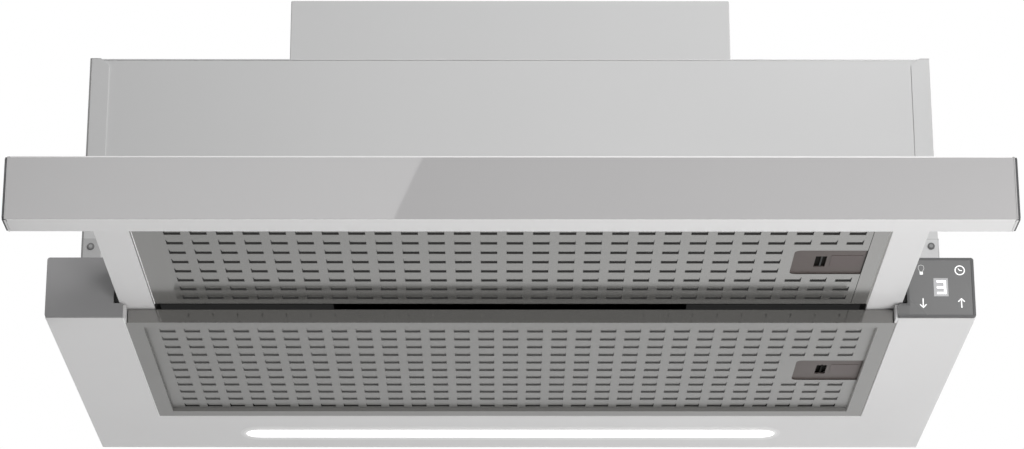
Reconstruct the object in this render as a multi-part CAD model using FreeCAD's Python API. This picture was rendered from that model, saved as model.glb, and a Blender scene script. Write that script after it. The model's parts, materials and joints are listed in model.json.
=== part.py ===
import FreeCAD, Part
import math
import os

from FreeCAD import Vector

# Telescopic range hood with its drawer pulled out, in millimetres.
# X runs to the right, Y to the back and Z up. While the pieces are drawn, y is 0 at the front
# face of the fixed lower frame and z is 0 at its underside.

# Overall sizes
facia_overhang = 0.5
facia_height = 39.6
facia_depth = 21.8
facia_bottom = 1.7
housing_width = 598.0
housing_depth = 310.5
frame_height = 40.4
cabinet_ledge = 19.0
body_top = 188.6
body_setback = 21.6
motor_box_width = 303.4
motor_box_setback = 80.0
motor_box_top = 256.2
drawer_travel = 158.5
closing_gap = 0.4

# Sheet metal, running fits and cutting overrun
sheet = 0.8
fit = 0.3
slide_fit = 0.1
overrun = 6.0

# Lower frame
leg_width = 44.0
foot_width = 5.8
foot_height = 9.5
beam_depth = 81.5
tab_width = 12.4
tab_height = 20.0

# End caps and touch control
cap_thickness = 2.4
cap_radius = 1.8
spigot_depth = 7.6
spigot_wall = 1.2
touch_rim = 1.8
touch_pocket = 1.4
touch_recess = 0.15
display_inset = 21.8
display_z = 20.3
display_width = 9.3
display_height = 12.3
board_standoff = 8.0
board_thickness = 1.6
board_margin = 2.0
post_width = 3.6

# Lamp
lamp_margin = 57.45
lamp_width = 17.0
lamp_inset = 37.5
lamp_shift = 0.5
lens_floor = 1.6
lens_wall = 1.2
lens_flange = 4.0
lens_height = 9.0
led_margin = 23.5
led_size = 5.0
led_height = 1.2
led_count = 6

# Body panels
flange_width = 12.4
panel_drop = 1.0
corner_chamfer_width = 5.5
corner_chamfer_height = 5.0
inner_flange = 14.0
cabinet_hole_radius = 2.5
cabinet_hole_inset = 150.5
cabinet_hole_drop = 23.6
air_opening_side = 56.7
air_opening_margin = 10.0
box_flange = 8.0

# Duct outlet and non-return flaps
outlet_inset = 85.5
outlet_radius = 75.0
outlet_wall = 2.5
outlet_height = 28.0
outlet_flange = 8.0
outlet_flange_thickness = 2.5
collar_bore_sides = 48
flap_thickness = 1.4
flap_gap = 0.8
flap_pin_radius = 1.5
flap_pin_height = 9.0
knuckle_radius = 2.6
knuckle_length = 34.0
knuckle_x = 30.0
flap_sides = 12
barrel_sides = 8

# Fan housing
scroll_offset = 53.0
scroll_drop = 106.2
scroll_radius = 75.0
scroll_growth = 28.0
scroll_sides = 15
scroll_side_gap = 95.7
scroll_wall = 2.0
tongue_offset = 14.0
eye_radius = 52.0
duct_flange = 7.0

# Fan wheel and motor
wheel_radius = 66.0
wheel_gap = 6.0
wheel_ring = 3.0
wheel_disc = 2.0
blade_count = 16
blade_depth = 11.0
blade_thickness = 1.0
blade_lean = 35.0
hub_radius = 11.0
hub_length = 24.0
shaft_radius = 4.0
bearing_clearance = 0.05
motor_radius = 39.0
motor_length = 34.0
motor_sides = 24
bush_radius = 5.0
bush_length = 4.0
bush_reach = 30.0
bush_count = 3

# Electrics on the top panel
capacitor_radius = 15.0
capacitor_length = 52.0
capacitor_inset = 27.7
capacitor_offset = 30.0
terminal_size = 6.0
terminal_height = 8.0
electronics_inset = 47.7
electronics_offset = 28.0
electronics_width = 40.0
electronics_length = 120.0
electronics_height = 34.0
electronics_wall = 2.0
gland_side_inset = 29.7
gland_back_inset = 26.5
gland_width = 14.0
gland_length = 12.0
gland_bore = 4.0
gland_flange = 3.0
gland_flange_height = 5.0
gland_depth = 10.0

# Drawer
glass_thickness = 4.0
facia_wall = 1.2
facia_cap = 1.9
facia_cap_corner = 1.5
facia_spigot = 6.0
arm_gap = 3.0
arm_width = 22.0
arm_bottom = 10.1
arm_top = 38.0
arm_shelf = 12.5
arm_skirt = 21.0
arm_rear = 66.0
crossbar_front = 38.0
crossbar_depth = 14.0
crossbar_gap = 1.2

# Drawer slides
rail_height = 22.8
rail_bottom = 13.6
rail_depth = 12.0
rail_lip = 3.4
rail_wall = 1.0
rail_start = 4.0
inner_rail_gap = 0.9
inner_rail_front = -100.0
spine_margin = 1.0
glide_length = 30.0

# Drawer switch
switch_x = 110.0
switch_width = 20.0
switch_height = 10.0
switch_depth = 12.0
switch_z = 25.0
plunger_width = 5.0
plunger_height = 3.0
plunger_reach = 4.0
plunger_travel = 2.0

# Grease filters
filter_height = 9.2
filter_wall = 0.8
panel_recess = 2.7
rim_width = 10.1
top_lip = 6.0
hole_width = 10.2
hole_length = 9.6
column_pitch = 16.0
row_pitch = 17.5
backing_gap = 0.65
backing_thickness = 0.6
vent_width = 3.6
vent_offset = 3.2
rear_filter_gap = 1.2
rear_filter_front = 12.4
rear_filter_back_gap = 1.0
rear_filter_base = 0.0
rear_rim_back = 12.0
rear_hole_margin = 8.5
rear_row_offset = 15.8
rear_grid_shift = 0.1
rear_recess_offset = 90.2
front_filter_gap = 0.5
front_filter_front_gap = 0.7
front_filter_rear = 6.6
front_filter_base = 11.1
front_rim_back = 3.6
front_hole_margin = 4.0
front_row_offset = 10.9
front_grid_shift = 2.1
front_recess_offset = 67.8

# Filter latches
recess_size = 45.0
recess_radius = 4.0
recess_depth = 2.4
recess_ring = 1.6
pull_slot_width = 6.6
pull_slot_length = 19.0
pull_slot_centre = 17.8
channel_width = 21.0
channel_rise = 0.7
channel_gap = 3.0
latch_thickness = 1.2
latch_width = 26.0
latch_tail = 8.0
tongue_width = 12.0
tongue_gap = 0.6
pull_thickness = 1.0
pull_height = 2.4
latch_pull = 3.0
latch_throw = 2.2
hook_width = 20.0
hook_reach = 3.6
hook_height = 5.2
hook_rise = 2.2
hook_margin = 60.0
spring_length = 6.0
spring_width = 3.0

# Screws
screw_head_radius = 2.4
screw_head_height = 1.0
screw_shank_radius = 1.5
screw_head_sides = 12
small_sides = 6
tab_screw_drop = 5.4

# Shares of the sizes that they follow
lamp_end_share = 0.6

# Places worked out from the sizes above
facia_back = -(drawer_travel + closing_gap)
facia_front = facia_back - facia_depth
facia_top = facia_bottom + facia_height
frame_half = housing_width / 2
facia_half = frame_half + facia_overhang
body_half = frame_half - cabinet_ledge
box_half = motor_box_width / 2
throat_half = frame_half - leg_width
opening_half = throat_half - foot_width
arm_outer = throat_half - arm_gap
arm_inner = arm_outer - arm_width
beam_front = housing_depth - beam_depth
display_x = frame_half - display_inset
front_panel_top = body_top - panel_drop
top_panel_top = front_panel_top + sheet
back_inner = housing_depth - sheet
duct_top = motor_box_top - sheet
rail_top = rail_bottom + rail_height
lamp_length = 2 * (opening_half - lamp_margin)
lamp_y = housing_depth - lamp_inset
lens_x = lamp_shift
led_pitch = (lamp_length - led_margin) / led_count
cabinet_hole_y = housing_depth - cabinet_hole_inset
cabinet_hole_z = body_top - cabinet_hole_drop
air_opening_half = box_half - air_opening_side
outlet_y = housing_depth - outlet_inset
scroll_y = outlet_y - scroll_offset
scroll_z = motor_box_top - scroll_drop
scroll_half_width = box_half - scroll_side_gap
wheel_half_width = scroll_half_width - wheel_gap
capacitor_x = capacitor_inset - box_half
capacitor_y = motor_box_setback + capacitor_offset
electronics_x = box_half - electronics_inset
electronics_y = motor_box_setback + electronics_offset
gland_x = box_half - gland_side_inset
gland_y = housing_depth - gland_back_inset
flap_axis_z = motor_box_top + flap_pin_height
middle_y = (facia_front + housing_depth) / 2


def block(x0, x1, y0, y1, z0, z1):
    return Part.makeBox(x1 - x0, y1 - y0, z1 - z0, Vector(x0, y0, z0))


def in_space(point, level, axis):
    a, b = point
    if axis == "x":
        return Vector(level, a, b)
    if axis == "y":
        return Vector(a, level, b)
    return Vector(a, b, level)


def prism(points, axis, start, end):
    corners = [in_space(point, start, axis) for point in points]
    wire = Part.makePolygon(corners + corners[:1])
    return Part.Face(wire).extrude(in_space((0, 0), end - start, axis))


def closed_wire(points, level):
    corners = [Vector(x, y, level) for x, y in points]
    return Part.makePolygon(corners + corners[:1])


def rounded_wire(points, radii, axis, level):
    corners = [in_space(point, level, axis) for point in points]
    count = len(corners)
    ends = []
    for i, corner in enumerate(corners):
        before = (corners[i - 1] - corner).normalize()
        after = (corners[(i + 1) % count] - corner).normalize()
        radius = radii[i]
        if radius == 0:
            ends.append((corner, None, corner))
            continue
        half_angle = before.getAngle(after) / 2
        cut = radius / math.tan(half_angle)
        centre = corner + (before + after).normalize() * (radius / math.sin(half_angle))
        middle = centre + (corner - centre).normalize() * radius
        ends.append((corner + before * cut, middle, corner + after * cut))
    edges = []
    for i, (first, middle, last) in enumerate(ends):
        if middle is not None:
            edges.append(Part.Arc(first, middle, last).toShape())
        edges.append(Part.LineSegment(last, ends[(i + 1) % count][0]).toShape())
    return Part.Wire(edges)


def rounded_prism(points, radii, axis, start, end):
    face = Part.Face(rounded_wire(points, radii, axis, start))
    return face.extrude(in_space((0, 0), end - start, axis))


def rectangle(a0, a1, b0, b1):
    return [(a0, b0), (a1, b0), (a1, b1), (a0, b1)]


def cut_corners(a0, a1, b0, b1, cut):
    return [(a0 + cut, b0), (a1 - cut, b0), (a1, b0 + cut), (a1, b1 - cut),
            (a1 - cut, b1), (a0 + cut, b1), (a0, b1 - cut), (a0, b0 + cut)]


def folded(points, thickness):
    """Closed outline of a sheet whose outer face follows an open line; the metal lies on its left."""
    offset = []
    last = len(points) - 1
    for i, (a, b) in enumerate(points):
        normals = []
        for j in (i - 1, i):
            if 0 <= j < last:
                run_a = points[j + 1][0] - points[j][0]
                run_b = points[j + 1][1] - points[j][1]
                length = math.hypot(run_a, run_b)
                normals.append((-run_b / length, run_a / length))
        sum_a = sum(normal[0] for normal in normals)
        sum_b = sum(normal[1] for normal in normals)
        share = thickness * len(normals) / (sum_a * sum_a + sum_b * sum_b)
        if len(normals) == 1:
            share = thickness
        offset.append((a + sum_a * share, b + sum_b * share))
    return points + offset[::-1]


def rod(radius, axis, centre, start, end):
    base = in_space(centre, start, axis)
    return Part.makeCylinder(radius, end - start, base, in_space((0, 0), 1, axis))


def many_sided(sides, radius, axis, centre, start, end):
    """Prism of regular section, used for round inner pieces and small fastener shanks."""
    points = []
    for i in range(sides):
        angle = 2 * math.pi * i / sides
        points.append((centre[0] + radius * math.sin(angle), centre[1] + radius * math.cos(angle)))
    return prism(points, axis, start, end)


def mirrored(shape):
    return shape.mirror(Vector(0, 0, 0), Vector(1, 0, 0))


def both_sides(shape):
    return [shape, mirrored(shape)]


def fused(shapes):
    return shapes[0].fuse(shapes[1:]).removeSplitter()


def leg_outline(inset):
    """Section of one leg of the lower frame, with the foot that the drawer arm passes over."""
    return [
        (frame_half - inset, inset),
        (frame_half - inset, frame_height - inset),
        (throat_half + inset, frame_height - inset),
        (throat_half + inset, foot_height - inset),
        (opening_half + inset, foot_height - inset),
        (opening_half + inset, inset),
    ]


def lower_frame():
    leg = prism(leg_outline(0), "y", cap_thickness, housing_depth)
    beam = block(-throat_half, throat_half, beam_front, housing_depth, 0, frame_height)
    frame = fused(both_sides(leg) + [beam])
    leg_space = prism(leg_outline(sheet), "y", cap_thickness - overrun, back_inner)
    inner = frame_half - sheet
    beam_space = block(-inner, inner, beam_front + sheet, back_inner, sheet, frame_height - sheet)
    frame = frame.cut(fused(both_sides(leg_space) + [beam_space]))
    frame = frame.cut(lamp_slot(0, 0, sheet + overrun))
    frame = frame.cut(filter_slots(rear_filter, opening_half, throat_half))
    tab = block(body_half - tab_width, body_half, body_setback - sheet, body_setback,
                frame_height - sheet, frame_height + tab_height)
    return fused([frame] + both_sides(tab.cut(tab_screw_shank())))


def tab_screw_place():
    return (body_half - tab_width / 2 + fit, frame_height + tab_height - tab_screw_drop)


def tab_screw_shank():
    end = body_setback + sheet
    return many_sided(small_sides, screw_shank_radius, "y", tab_screw_place(), body_setback - sheet, end)


def lamp_slot(grow, bottom, top):
    half = lamp_length / 2 + grow
    side = lamp_width / 2 + grow
    corners = cut_corners(lens_x - half, lens_x + half, lamp_y - side, lamp_y + side, side * lamp_end_share)
    return prism(corners, "z", bottom, top)


def light_diffuser():
    """Lens in the slot, with a flange inside the beam and two walls that carry the board."""
    lens = lamp_slot(-slide_fit, 0, sheet)
    half = lamp_length / 2 + lens_flange
    side = lamp_width / 2 + lens_flange
    top = sheet + lens_floor
    flange = block(lens_x - half, lens_x + half, lamp_y - side, lamp_y + side, sheet, top)
    pieces = [lens, flange]
    for y in (lamp_y - lamp_width / 2, lamp_y + lamp_width / 2 - lens_wall):
        pieces.append(block(lens_x - half, lens_x + half, y, y + lens_wall, top, lens_height))
    return fused(pieces)


def led_board():
    half = lamp_length / 2
    side = lamp_width / 2
    board = block(lens_x - half, lens_x + half, lamp_y - side, lamp_y + side,
                  lens_height, lens_height + board_thickness)
    pieces = [board]
    for i in range(led_count):
        x = lens_x + (i - (led_count - 1) / 2) * led_pitch
        pieces.append(block(x - led_size / 2, x + led_size / 2, lamp_y - led_size / 2,
                            lamp_y + led_size / 2, lens_height - led_height, lens_height))
    return fused(pieces)


def end_cap():
    radii = [cap_radius, cap_radius, 0, 0, cap_radius, 0]
    plate = rounded_prism(leg_outline(0), radii, "y", 0, cap_thickness)
    outside = sheet + slide_fit
    inside = outside + spigot_wall
    end = cap_thickness + spigot_depth
    spigot = prism(leg_outline(outside), "y", cap_thickness, end)
    spigot = spigot.cut(prism(leg_outline(inside), "y", cap_thickness, end + overrun))
    return fused([plate, spigot])


def display_block(grow, start, end):
    half = display_width / 2 + grow
    side = display_height / 2 + grow
    return block(display_x - half, display_x + half, start, end, display_z - side, display_z + side)


def board_box():
    left = throat_half + sheet + spigot_wall + board_margin
    right = frame_half - sheet - spigot_wall - board_margin
    top = frame_height - sheet - spigot_wall - board_margin
    return left, right, foot_height / 2, top


def control_housing():
    shape = end_cap()
    shape = shape.cut(prism(leg_outline(touch_rim), "y", -overrun, touch_pocket))
    shape = shape.cut(display_block(slide_fit, -overrun, cap_thickness + overrun))
    left, right, bottom, top = board_box()
    posts = []
    for x, z in ((left, top - post_width), (right - post_width, bottom)):
        posts.append(block(x, x + post_width, touch_pocket, board_standoff, z, z + post_width))
    return fused([shape] + posts)


def touch_panel():
    panel = prism(leg_outline(touch_rim + slide_fit), "y", touch_recess, touch_pocket)
    return panel.cut(display_block(slide_fit, -overrun, touch_pocket + overrun))


def display_module():
    return display_block(0, touch_recess, board_standoff)


def control_board():
    left, right, bottom, top = board_box()
    return block(left, right, board_standoff, board_standoff + board_thickness, bottom, top)


def side_panel():
    line = [
        (body_half - flange_width, body_setback),
        (body_half, body_setback),
        (body_half, housing_depth),
        (body_half - flange_width, housing_depth),
    ]
    wall = prism(folded(line, sheet), "z", frame_height, body_top)
    corner = [
        (body_half - flange_width, body_top),
        (body_half - flange_width + corner_chamfer_width, body_top),
        (body_half - flange_width, body_top - corner_chamfer_height),
    ]
    wall = wall.cut(prism(corner, "y", body_setback - overrun, body_setback + overrun))
    seat = block(throat_half, body_half - sheet, body_setback + inner_flange, back_inner - inner_flange,
                 frame_height, frame_height + sheet)
    shape = fused([wall, seat])
    place = (cabinet_hole_y, cabinet_hole_z)
    hole = rod(cabinet_hole_radius, "x", place, body_half - overrun, body_half + overrun)
    return shape.cut(hole).cut(tab_screw_shank())


def front_panel():
    front = body_setback + sheet
    line = [
        (front + inner_flange, frame_height + fit),
        (front, frame_height + fit),
        (front, front_panel_top),
        (front + inner_flange, front_panel_top),
    ]
    inner = body_half - sheet - slide_fit
    panel = prism(folded(line[::-1], sheet), "x", -inner, inner)
    corner = block(throat_half - fit, body_half, front + sheet, front + inner_flange + overrun,
                   frame_height - overrun, frame_height + fit + sheet)
    return panel.cut(Part.makeCompound(both_sides(corner)))


def back_panel():
    inner = body_half - sheet - slide_fit
    return block(-inner, inner, back_inner - sheet, back_inner, frame_height, front_panel_top)


def top_panel():
    inner = body_half - sheet - slide_fit
    panel = block(-inner, inner, body_setback + sheet, back_inner, front_panel_top, top_panel_top)
    opening = block(-air_opening_half, air_opening_half, motor_box_setback + air_opening_margin,
                    back_inner - air_opening_margin, front_panel_top - overrun, top_panel_top + overrun)
    return panel.cut(opening)


def motor_box():
    rear = back_inner
    outer = block(-box_half, box_half, motor_box_setback, rear, top_panel_top, motor_box_top)
    space = block(-box_half + sheet, box_half - sheet, motor_box_setback + sheet, rear - sheet,
                  top_panel_top - overrun, duct_top)
    flange = block(-box_half - box_flange, box_half + box_flange, motor_box_setback - box_flange, rear,
                   top_panel_top, top_panel_top + sheet)
    shape = fused([outer, flange]).cut(space)
    inlet = gland_block(0, duct_top - overrun, motor_box_top + overrun)
    return shape.cut(duct_block(scroll_wall, duct_top - overrun, motor_box_top + overrun)).cut(inlet)


def tab_screws():
    face = body_setback - sheet
    place = tab_screw_place()
    head = many_sided(screw_head_sides, screw_head_radius, "y", place, face - screw_head_height, face)
    return Part.makeCompound(both_sides(fused([head, tab_screw_shank()])))


def outlet_collar():
    bottom = motor_box_top
    top = bottom + outlet_height
    centre = (0, outlet_y)
    half = outlet_radius + outlet_flange
    tube = rod(outlet_radius, "z", centre, bottom, top)
    flange = block(-half, half, outlet_y - half, outlet_y + half, bottom, bottom + outlet_flange_thickness)
    bore = many_sided(collar_bore_sides, outlet_radius - outlet_wall, "z", centre, bottom, top)
    return fused([tube, flange]).cut(bore)


def flap_pin():
    sagitta = flap_pin_radius * math.tan(math.pi / collar_bore_sides)
    reach = outlet_radius - outlet_wall - sagitta - bearing_clearance
    return rod(flap_pin_radius, "x", (outlet_y, flap_axis_z), -reach, reach)


def flap(side, x):
    """Half disc on one side of the pin, hung on a barrel that the pin passes through."""
    radius = outlet_radius - outlet_wall - flap_gap
    low = flap_axis_z - flap_thickness / 2
    high = flap_axis_z + flap_thickness / 2
    edge = knuckle_radius + fit
    start = math.asin(edge / radius)
    points = []
    for i in range(flap_sides + 1):
        angle = start + (math.pi - 2 * start) * i / flap_sides
        points.append((radius * math.cos(angle), outlet_y + side * radius * math.sin(angle)))
    plate = prism(points, "z", low, high)
    lug_end = outlet_y + side * (edge + flap_thickness)
    x0 = x - knuckle_length / 2
    x1 = x + knuckle_length / 2
    barrel = many_sided(barrel_sides, knuckle_radius, "x", (outlet_y, flap_axis_z), x0, x1)
    lug = block(x0, x1, min(outlet_y, lug_end), max(outlet_y, lug_end), low, high)
    bore = rod(flap_pin_radius + bearing_clearance, "x", (outlet_y, flap_axis_z), x0 - overrun, x1 + overrun)
    return fused([plate, barrel, lug]).cut(bore)


def scroll_points(inset, top):
    """Spiral whose radius grows steadily over three quarters of a turn, then straight up."""
    points = []
    for i in range(scroll_sides + 1):
        turn = i / scroll_sides
        angle = 1.5 * math.pi * turn
        radius = scroll_radius - inset + scroll_growth * turn
        points.append((scroll_y - radius * math.sin(angle), scroll_z + radius * math.cos(angle)))
    tongue = scroll_y + tongue_offset + inset
    points.append((points[-1][0], top))
    points.append((tongue, top))
    points.append((tongue, points[0][1]))
    return points


def duct_block(inset, bottom, top):
    """The square duct above the scroll."""
    half = scroll_half_width - inset
    front = scroll_y + tongue_offset + inset
    rear = scroll_y + scroll_radius + scroll_growth - inset
    return block(-half, half, front, rear, bottom, top)


def fan_housing_half(side):
    """One half of the scroll, open at the seam, with half of the flange at its outlet."""
    inner = scroll_half_width - scroll_wall
    shell = prism(scroll_points(0, duct_top), "x", 0, scroll_half_width)
    rear = scroll_y + scroll_radius + scroll_growth + duct_flange
    flange = block(0, scroll_half_width + duct_flange, scroll_y + tongue_offset - duct_flange, rear,
                   duct_top - scroll_wall, duct_top)
    shape = fused([shell, flange])
    shape = shape.cut(prism(scroll_points(scroll_wall, duct_top + overrun), "x", -overrun, inner))
    return shape if side > 0 else mirrored(shape)


def fan_housing_right():
    """Inlet half, with the eye that the air enters by."""
    eye = many_sided(motor_sides, eye_radius, "x", (scroll_y, scroll_z), 0, scroll_half_width + overrun)
    return fan_housing_half(1).cut(eye)


def fan_housing_left():
    """Motor half, with a hole that the shaft passes through."""
    hole = many_sided(small_sides, hub_radius, "x", (scroll_y, scroll_z), -scroll_half_width - overrun, 0)
    return fan_housing_half(-1).cut(hole)


def blade():
    """One blade between two lines of the wheel's rim, leaning into the turn."""
    outer = wheel_radius - wheel_ring / 2
    inner = outer - blade_depth
    lean = math.radians(blade_lean) * blade_depth / outer
    points = []
    for radius, angle in ((inner, 0), (outer, lean)):
        points.append((scroll_y + radius * math.sin(angle), scroll_z + radius * math.cos(angle)))
    for radius, angle in ((outer, lean), (inner, 0)):
        angle += blade_thickness / radius
        points.append((scroll_y + radius * math.sin(angle), scroll_z + radius * math.cos(angle)))
    return prism(points, "x", -wheel_half_width, wheel_half_width)


def fan_wheel():
    """Bladed wheel: disc and hub at the motor side, blades, and a ring at the inlet side."""
    centre = (scroll_y, scroll_z)
    half = wheel_half_width
    disc = many_sided(blade_count, wheel_radius, "x", centre, -half, -half + wheel_disc)
    hub = many_sided(small_sides * 2, hub_radius, "x", centre, -half, -half + hub_length)
    ring = many_sided(blade_count, wheel_radius, "x", centre, half - wheel_ring, half)
    ring = ring.cut(many_sided(blade_count, wheel_radius - wheel_ring, "x", centre, 0, half + overrun))
    pieces = [disc, hub, ring]
    axis_point = Vector(0, scroll_y, scroll_z)
    for i in range(blade_count):
        copy = blade()
        copy.rotate(axis_point, Vector(1, 0, 0), i * 360 / blade_count)
        pieces.append(copy)
    return fused(pieces).cut(rod(shaft_radius, "x", centre, -half - overrun, -half + hub_length + overrun))


def motor_face():
    return -scroll_half_width - bush_length


def fan_shaft():
    start = motor_face() - motor_length
    return rod(shaft_radius, "x", (scroll_y, scroll_z), start, -wheel_half_width + hub_length)


def motor_body():
    centre = (scroll_y, scroll_z)
    start = motor_face() - motor_length
    can = many_sided(motor_sides, motor_radius, "x", centre, start, motor_face())
    return can.cut(rod(shaft_radius + bearing_clearance, "x", centre, start - overrun, 0))


def motor_bushes():
    """Rubber blocks between the motor and the scroll's side."""
    bushes = []
    for i in range(bush_count):
        angle = 2 * math.pi * i / bush_count
        place = (scroll_y + bush_reach * math.sin(angle), scroll_z + bush_reach * math.cos(angle))
        bushes.append(many_sided(small_sides, bush_radius, "x", place, motor_face(), -scroll_half_width))
    return Part.makeCompound(bushes)


def capacitor():
    z = top_panel_top + capacitor_radius
    end = capacitor_y + capacitor_length
    can = many_sided(motor_sides, capacitor_radius, "y", (capacitor_x, z), capacitor_y, end)
    pieces = [can]
    for shift in (-terminal_size, 0):
        x = capacitor_x + shift + terminal_size / 2 + shift / 2
        pieces.append(block(x, x + sheet, end, end + terminal_height, z, z + terminal_size))
    return fused(pieces)


def electronics_box():
    x1 = electronics_x + electronics_width
    y1 = electronics_y + electronics_length
    top = top_panel_top + electronics_height - electronics_wall
    wall = electronics_wall
    tray = block(electronics_x, x1, electronics_y, y1, top_panel_top, top)
    return tray.cut(block(electronics_x + wall, x1 - wall, electronics_y + wall, y1 - wall,
                          top_panel_top + wall, top + overrun))


def electronics_lid():
    x1 = electronics_x + electronics_width
    y1 = electronics_y + electronics_length
    top = top_panel_top + electronics_height
    wall = electronics_wall
    lid = block(electronics_x, x1, electronics_y, y1, top - wall, top)
    plug = block(electronics_x + wall + slide_fit, x1 - wall - slide_fit, electronics_y + wall + slide_fit,
                 y1 - wall - slide_fit, top - 2 * wall, top - wall)
    return fused([lid, plug])


def gland_block(grow, bottom, top):
    half = gland_width / 2 + grow
    side = gland_length / 2 + grow
    return block(gland_x - half, gland_x + half, gland_y - side, gland_y + side, bottom, top)


def cable_gland():
    """Snap-in bush of rectangular outline with a round bore for the cable."""
    top = motor_box_top + gland_flange_height
    body = gland_block(-slide_fit, duct_top - gland_depth, motor_box_top)
    flange = gland_block(gland_flange, motor_box_top, top)
    bore = rod(gland_bore, "z", (gland_x, gland_y), duct_top - gland_depth - overrun, top + overrun)
    return fused([body, flange]).cut(bore)


def outer_rail():
    """Fixed C rail on the frame's leg, its mouth towards the middle of the hood."""
    back = throat_half
    mouth = back - rail_depth
    line = [
        (mouth, rail_bottom + rail_wall + rail_lip),
        (mouth, rail_bottom),
        (back, rail_bottom),
        (back, rail_top),
        (mouth, rail_top),
        (mouth, rail_top - rail_wall - rail_lip),
    ]
    return prism(folded(line, rail_wall), "y", rail_start, beam_front)


def inner_rail():
    """Moving C rail inside the fixed one, with the spine that the arm is screwed to."""
    mouth = throat_half - rail_depth
    web = mouth + rail_wall + fit
    flange_end = throat_half - rail_wall - 2 * spine_margin
    bottom = rail_bottom + rail_wall + inner_rail_gap
    top = rail_top - rail_wall - inner_rail_gap
    line = [(flange_end, top), (web, top), (web, bottom), (flange_end, bottom)]
    channel = prism(folded(line, rail_wall), "y", inner_rail_front, arm_rear)
    spine_bottom = rail_bottom + rail_wall + rail_lip + spine_margin
    spine_top = rail_top - rail_wall - rail_lip - spine_margin
    spine = block(arm_inner + arm_shelf, web, inner_rail_front, arm_rear, spine_bottom, spine_top)
    return fused([channel, spine])


def glide_pair(start, low, high):
    """Two nylon pads, one under and one over the moving rail."""
    web = throat_half - rail_depth + rail_wall + fit
    flange_end = throat_half - rail_wall - 2 * spine_margin
    bottom = rail_bottom + rail_wall
    top = rail_top - rail_wall
    pads = [
        block(web, flange_end, start, start + glide_length, bottom + low, bottom + inner_rail_gap - high),
        block(web, flange_end, start, start + glide_length, top - inner_rail_gap + high, top - low),
    ]
    return pads + [mirrored(pad) for pad in pads]


def rail_glides():
    return Part.makeCompound(glide_pair(rail_start, 0, slide_fit))


def drawer_glides():
    return Part.makeCompound(glide_pair(arm_rear - glide_length, slide_fit, 0))


def drawer_arm():
    """Folded arm: floor, inner wall, shelf under the top plate and a skirt for the moving rail."""
    line = [
        (arm_outer, arm_bottom),
        (arm_inner, arm_bottom),
        (arm_inner, arm_top),
        (arm_inner + arm_shelf, arm_top),
        (arm_inner + arm_shelf, arm_top - arm_skirt),
    ]
    return prism(folded(line[::-1], sheet), "y", facia_back, arm_rear)


def drawer_top():
    half = arm_inner + arm_shelf
    return block(-half, half, facia_back, arm_rear, arm_top, arm_top + sheet)


def rear_crossbar():
    half = arm_inner
    rear = crossbar_front + crossbar_depth
    bottom = front_filter_base + filter_height + crossbar_gap
    line = [(rear, arm_top), (rear, bottom), (crossbar_front, bottom), (crossbar_front, arm_top)]
    return prism(folded(line[::-1], sheet), "x", -half, half)


def facia_profile():
    front = facia_front + glass_thickness
    half = facia_half - facia_cap
    outer = block(-half, half, front, facia_back, facia_bottom, facia_top)
    wall = facia_wall
    inner = block(-half - overrun, half + overrun, front + wall, facia_back - wall, facia_bottom + wall,
                  facia_top - wall)
    return outer.cut(inner)


def facia_glass():
    half = facia_half - facia_cap
    return block(-half, half, facia_front, facia_front + glass_thickness, facia_bottom, facia_top)


def facia_end_cap():
    start = facia_half - facia_cap
    plate = prism(cut_corners(facia_front, facia_back, facia_bottom, facia_top, facia_cap_corner),
                  "x", start, facia_half)
    inset = facia_wall + slide_fit
    spigot = block(start - facia_spigot, start, facia_front + glass_thickness + inset, facia_back - inset,
                   facia_bottom + inset, facia_top - inset)
    hollow = block(start - facia_spigot - overrun, start, facia_front + glass_thickness + 2 * inset,
                   facia_back - 2 * inset, facia_bottom + 2 * inset, facia_top - 2 * inset)
    return fused([plate, spigot.cut(hollow)])


def arm_foot():
    """Foot folded across the arm's front end, flat against the facia."""
    return block(arm_inner + sheet, arm_inner + arm_shelf - sheet, facia_back, facia_back + sheet,
                 arm_bottom + sheet, arm_top - sheet)


def right_arm():
    arm = fused([drawer_arm(), arm_foot()])
    return arm.cut(keeper_slot(front_filter, arm_inner, arm_inner + sheet))


def left_arm():
    arm = mirrored(fused([drawer_arm(), arm_foot()]))
    return arm.cut(hook_slots(front_filter, arm_inner, arm_inner + sheet))


def drawer_switch():
    body = block(switch_x - switch_width / 2, switch_x + switch_width / 2, beam_front - switch_depth,
                 beam_front, switch_z, switch_z + switch_height)
    return body.cut(plunger_solid(slide_fit, plunger_reach + plunger_travel + fit))


def plunger_solid(grow, depth):
    face = beam_front - switch_depth
    middle = switch_z + switch_height / 2
    half = plunger_width / 2 + grow
    side = plunger_height / 2 + grow
    return block(switch_x - half, switch_x + half, face - plunger_reach - grow, face + depth,
                 middle - side, middle + side)


def switch_plunger():
    return plunger_solid(0, plunger_reach)


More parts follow.
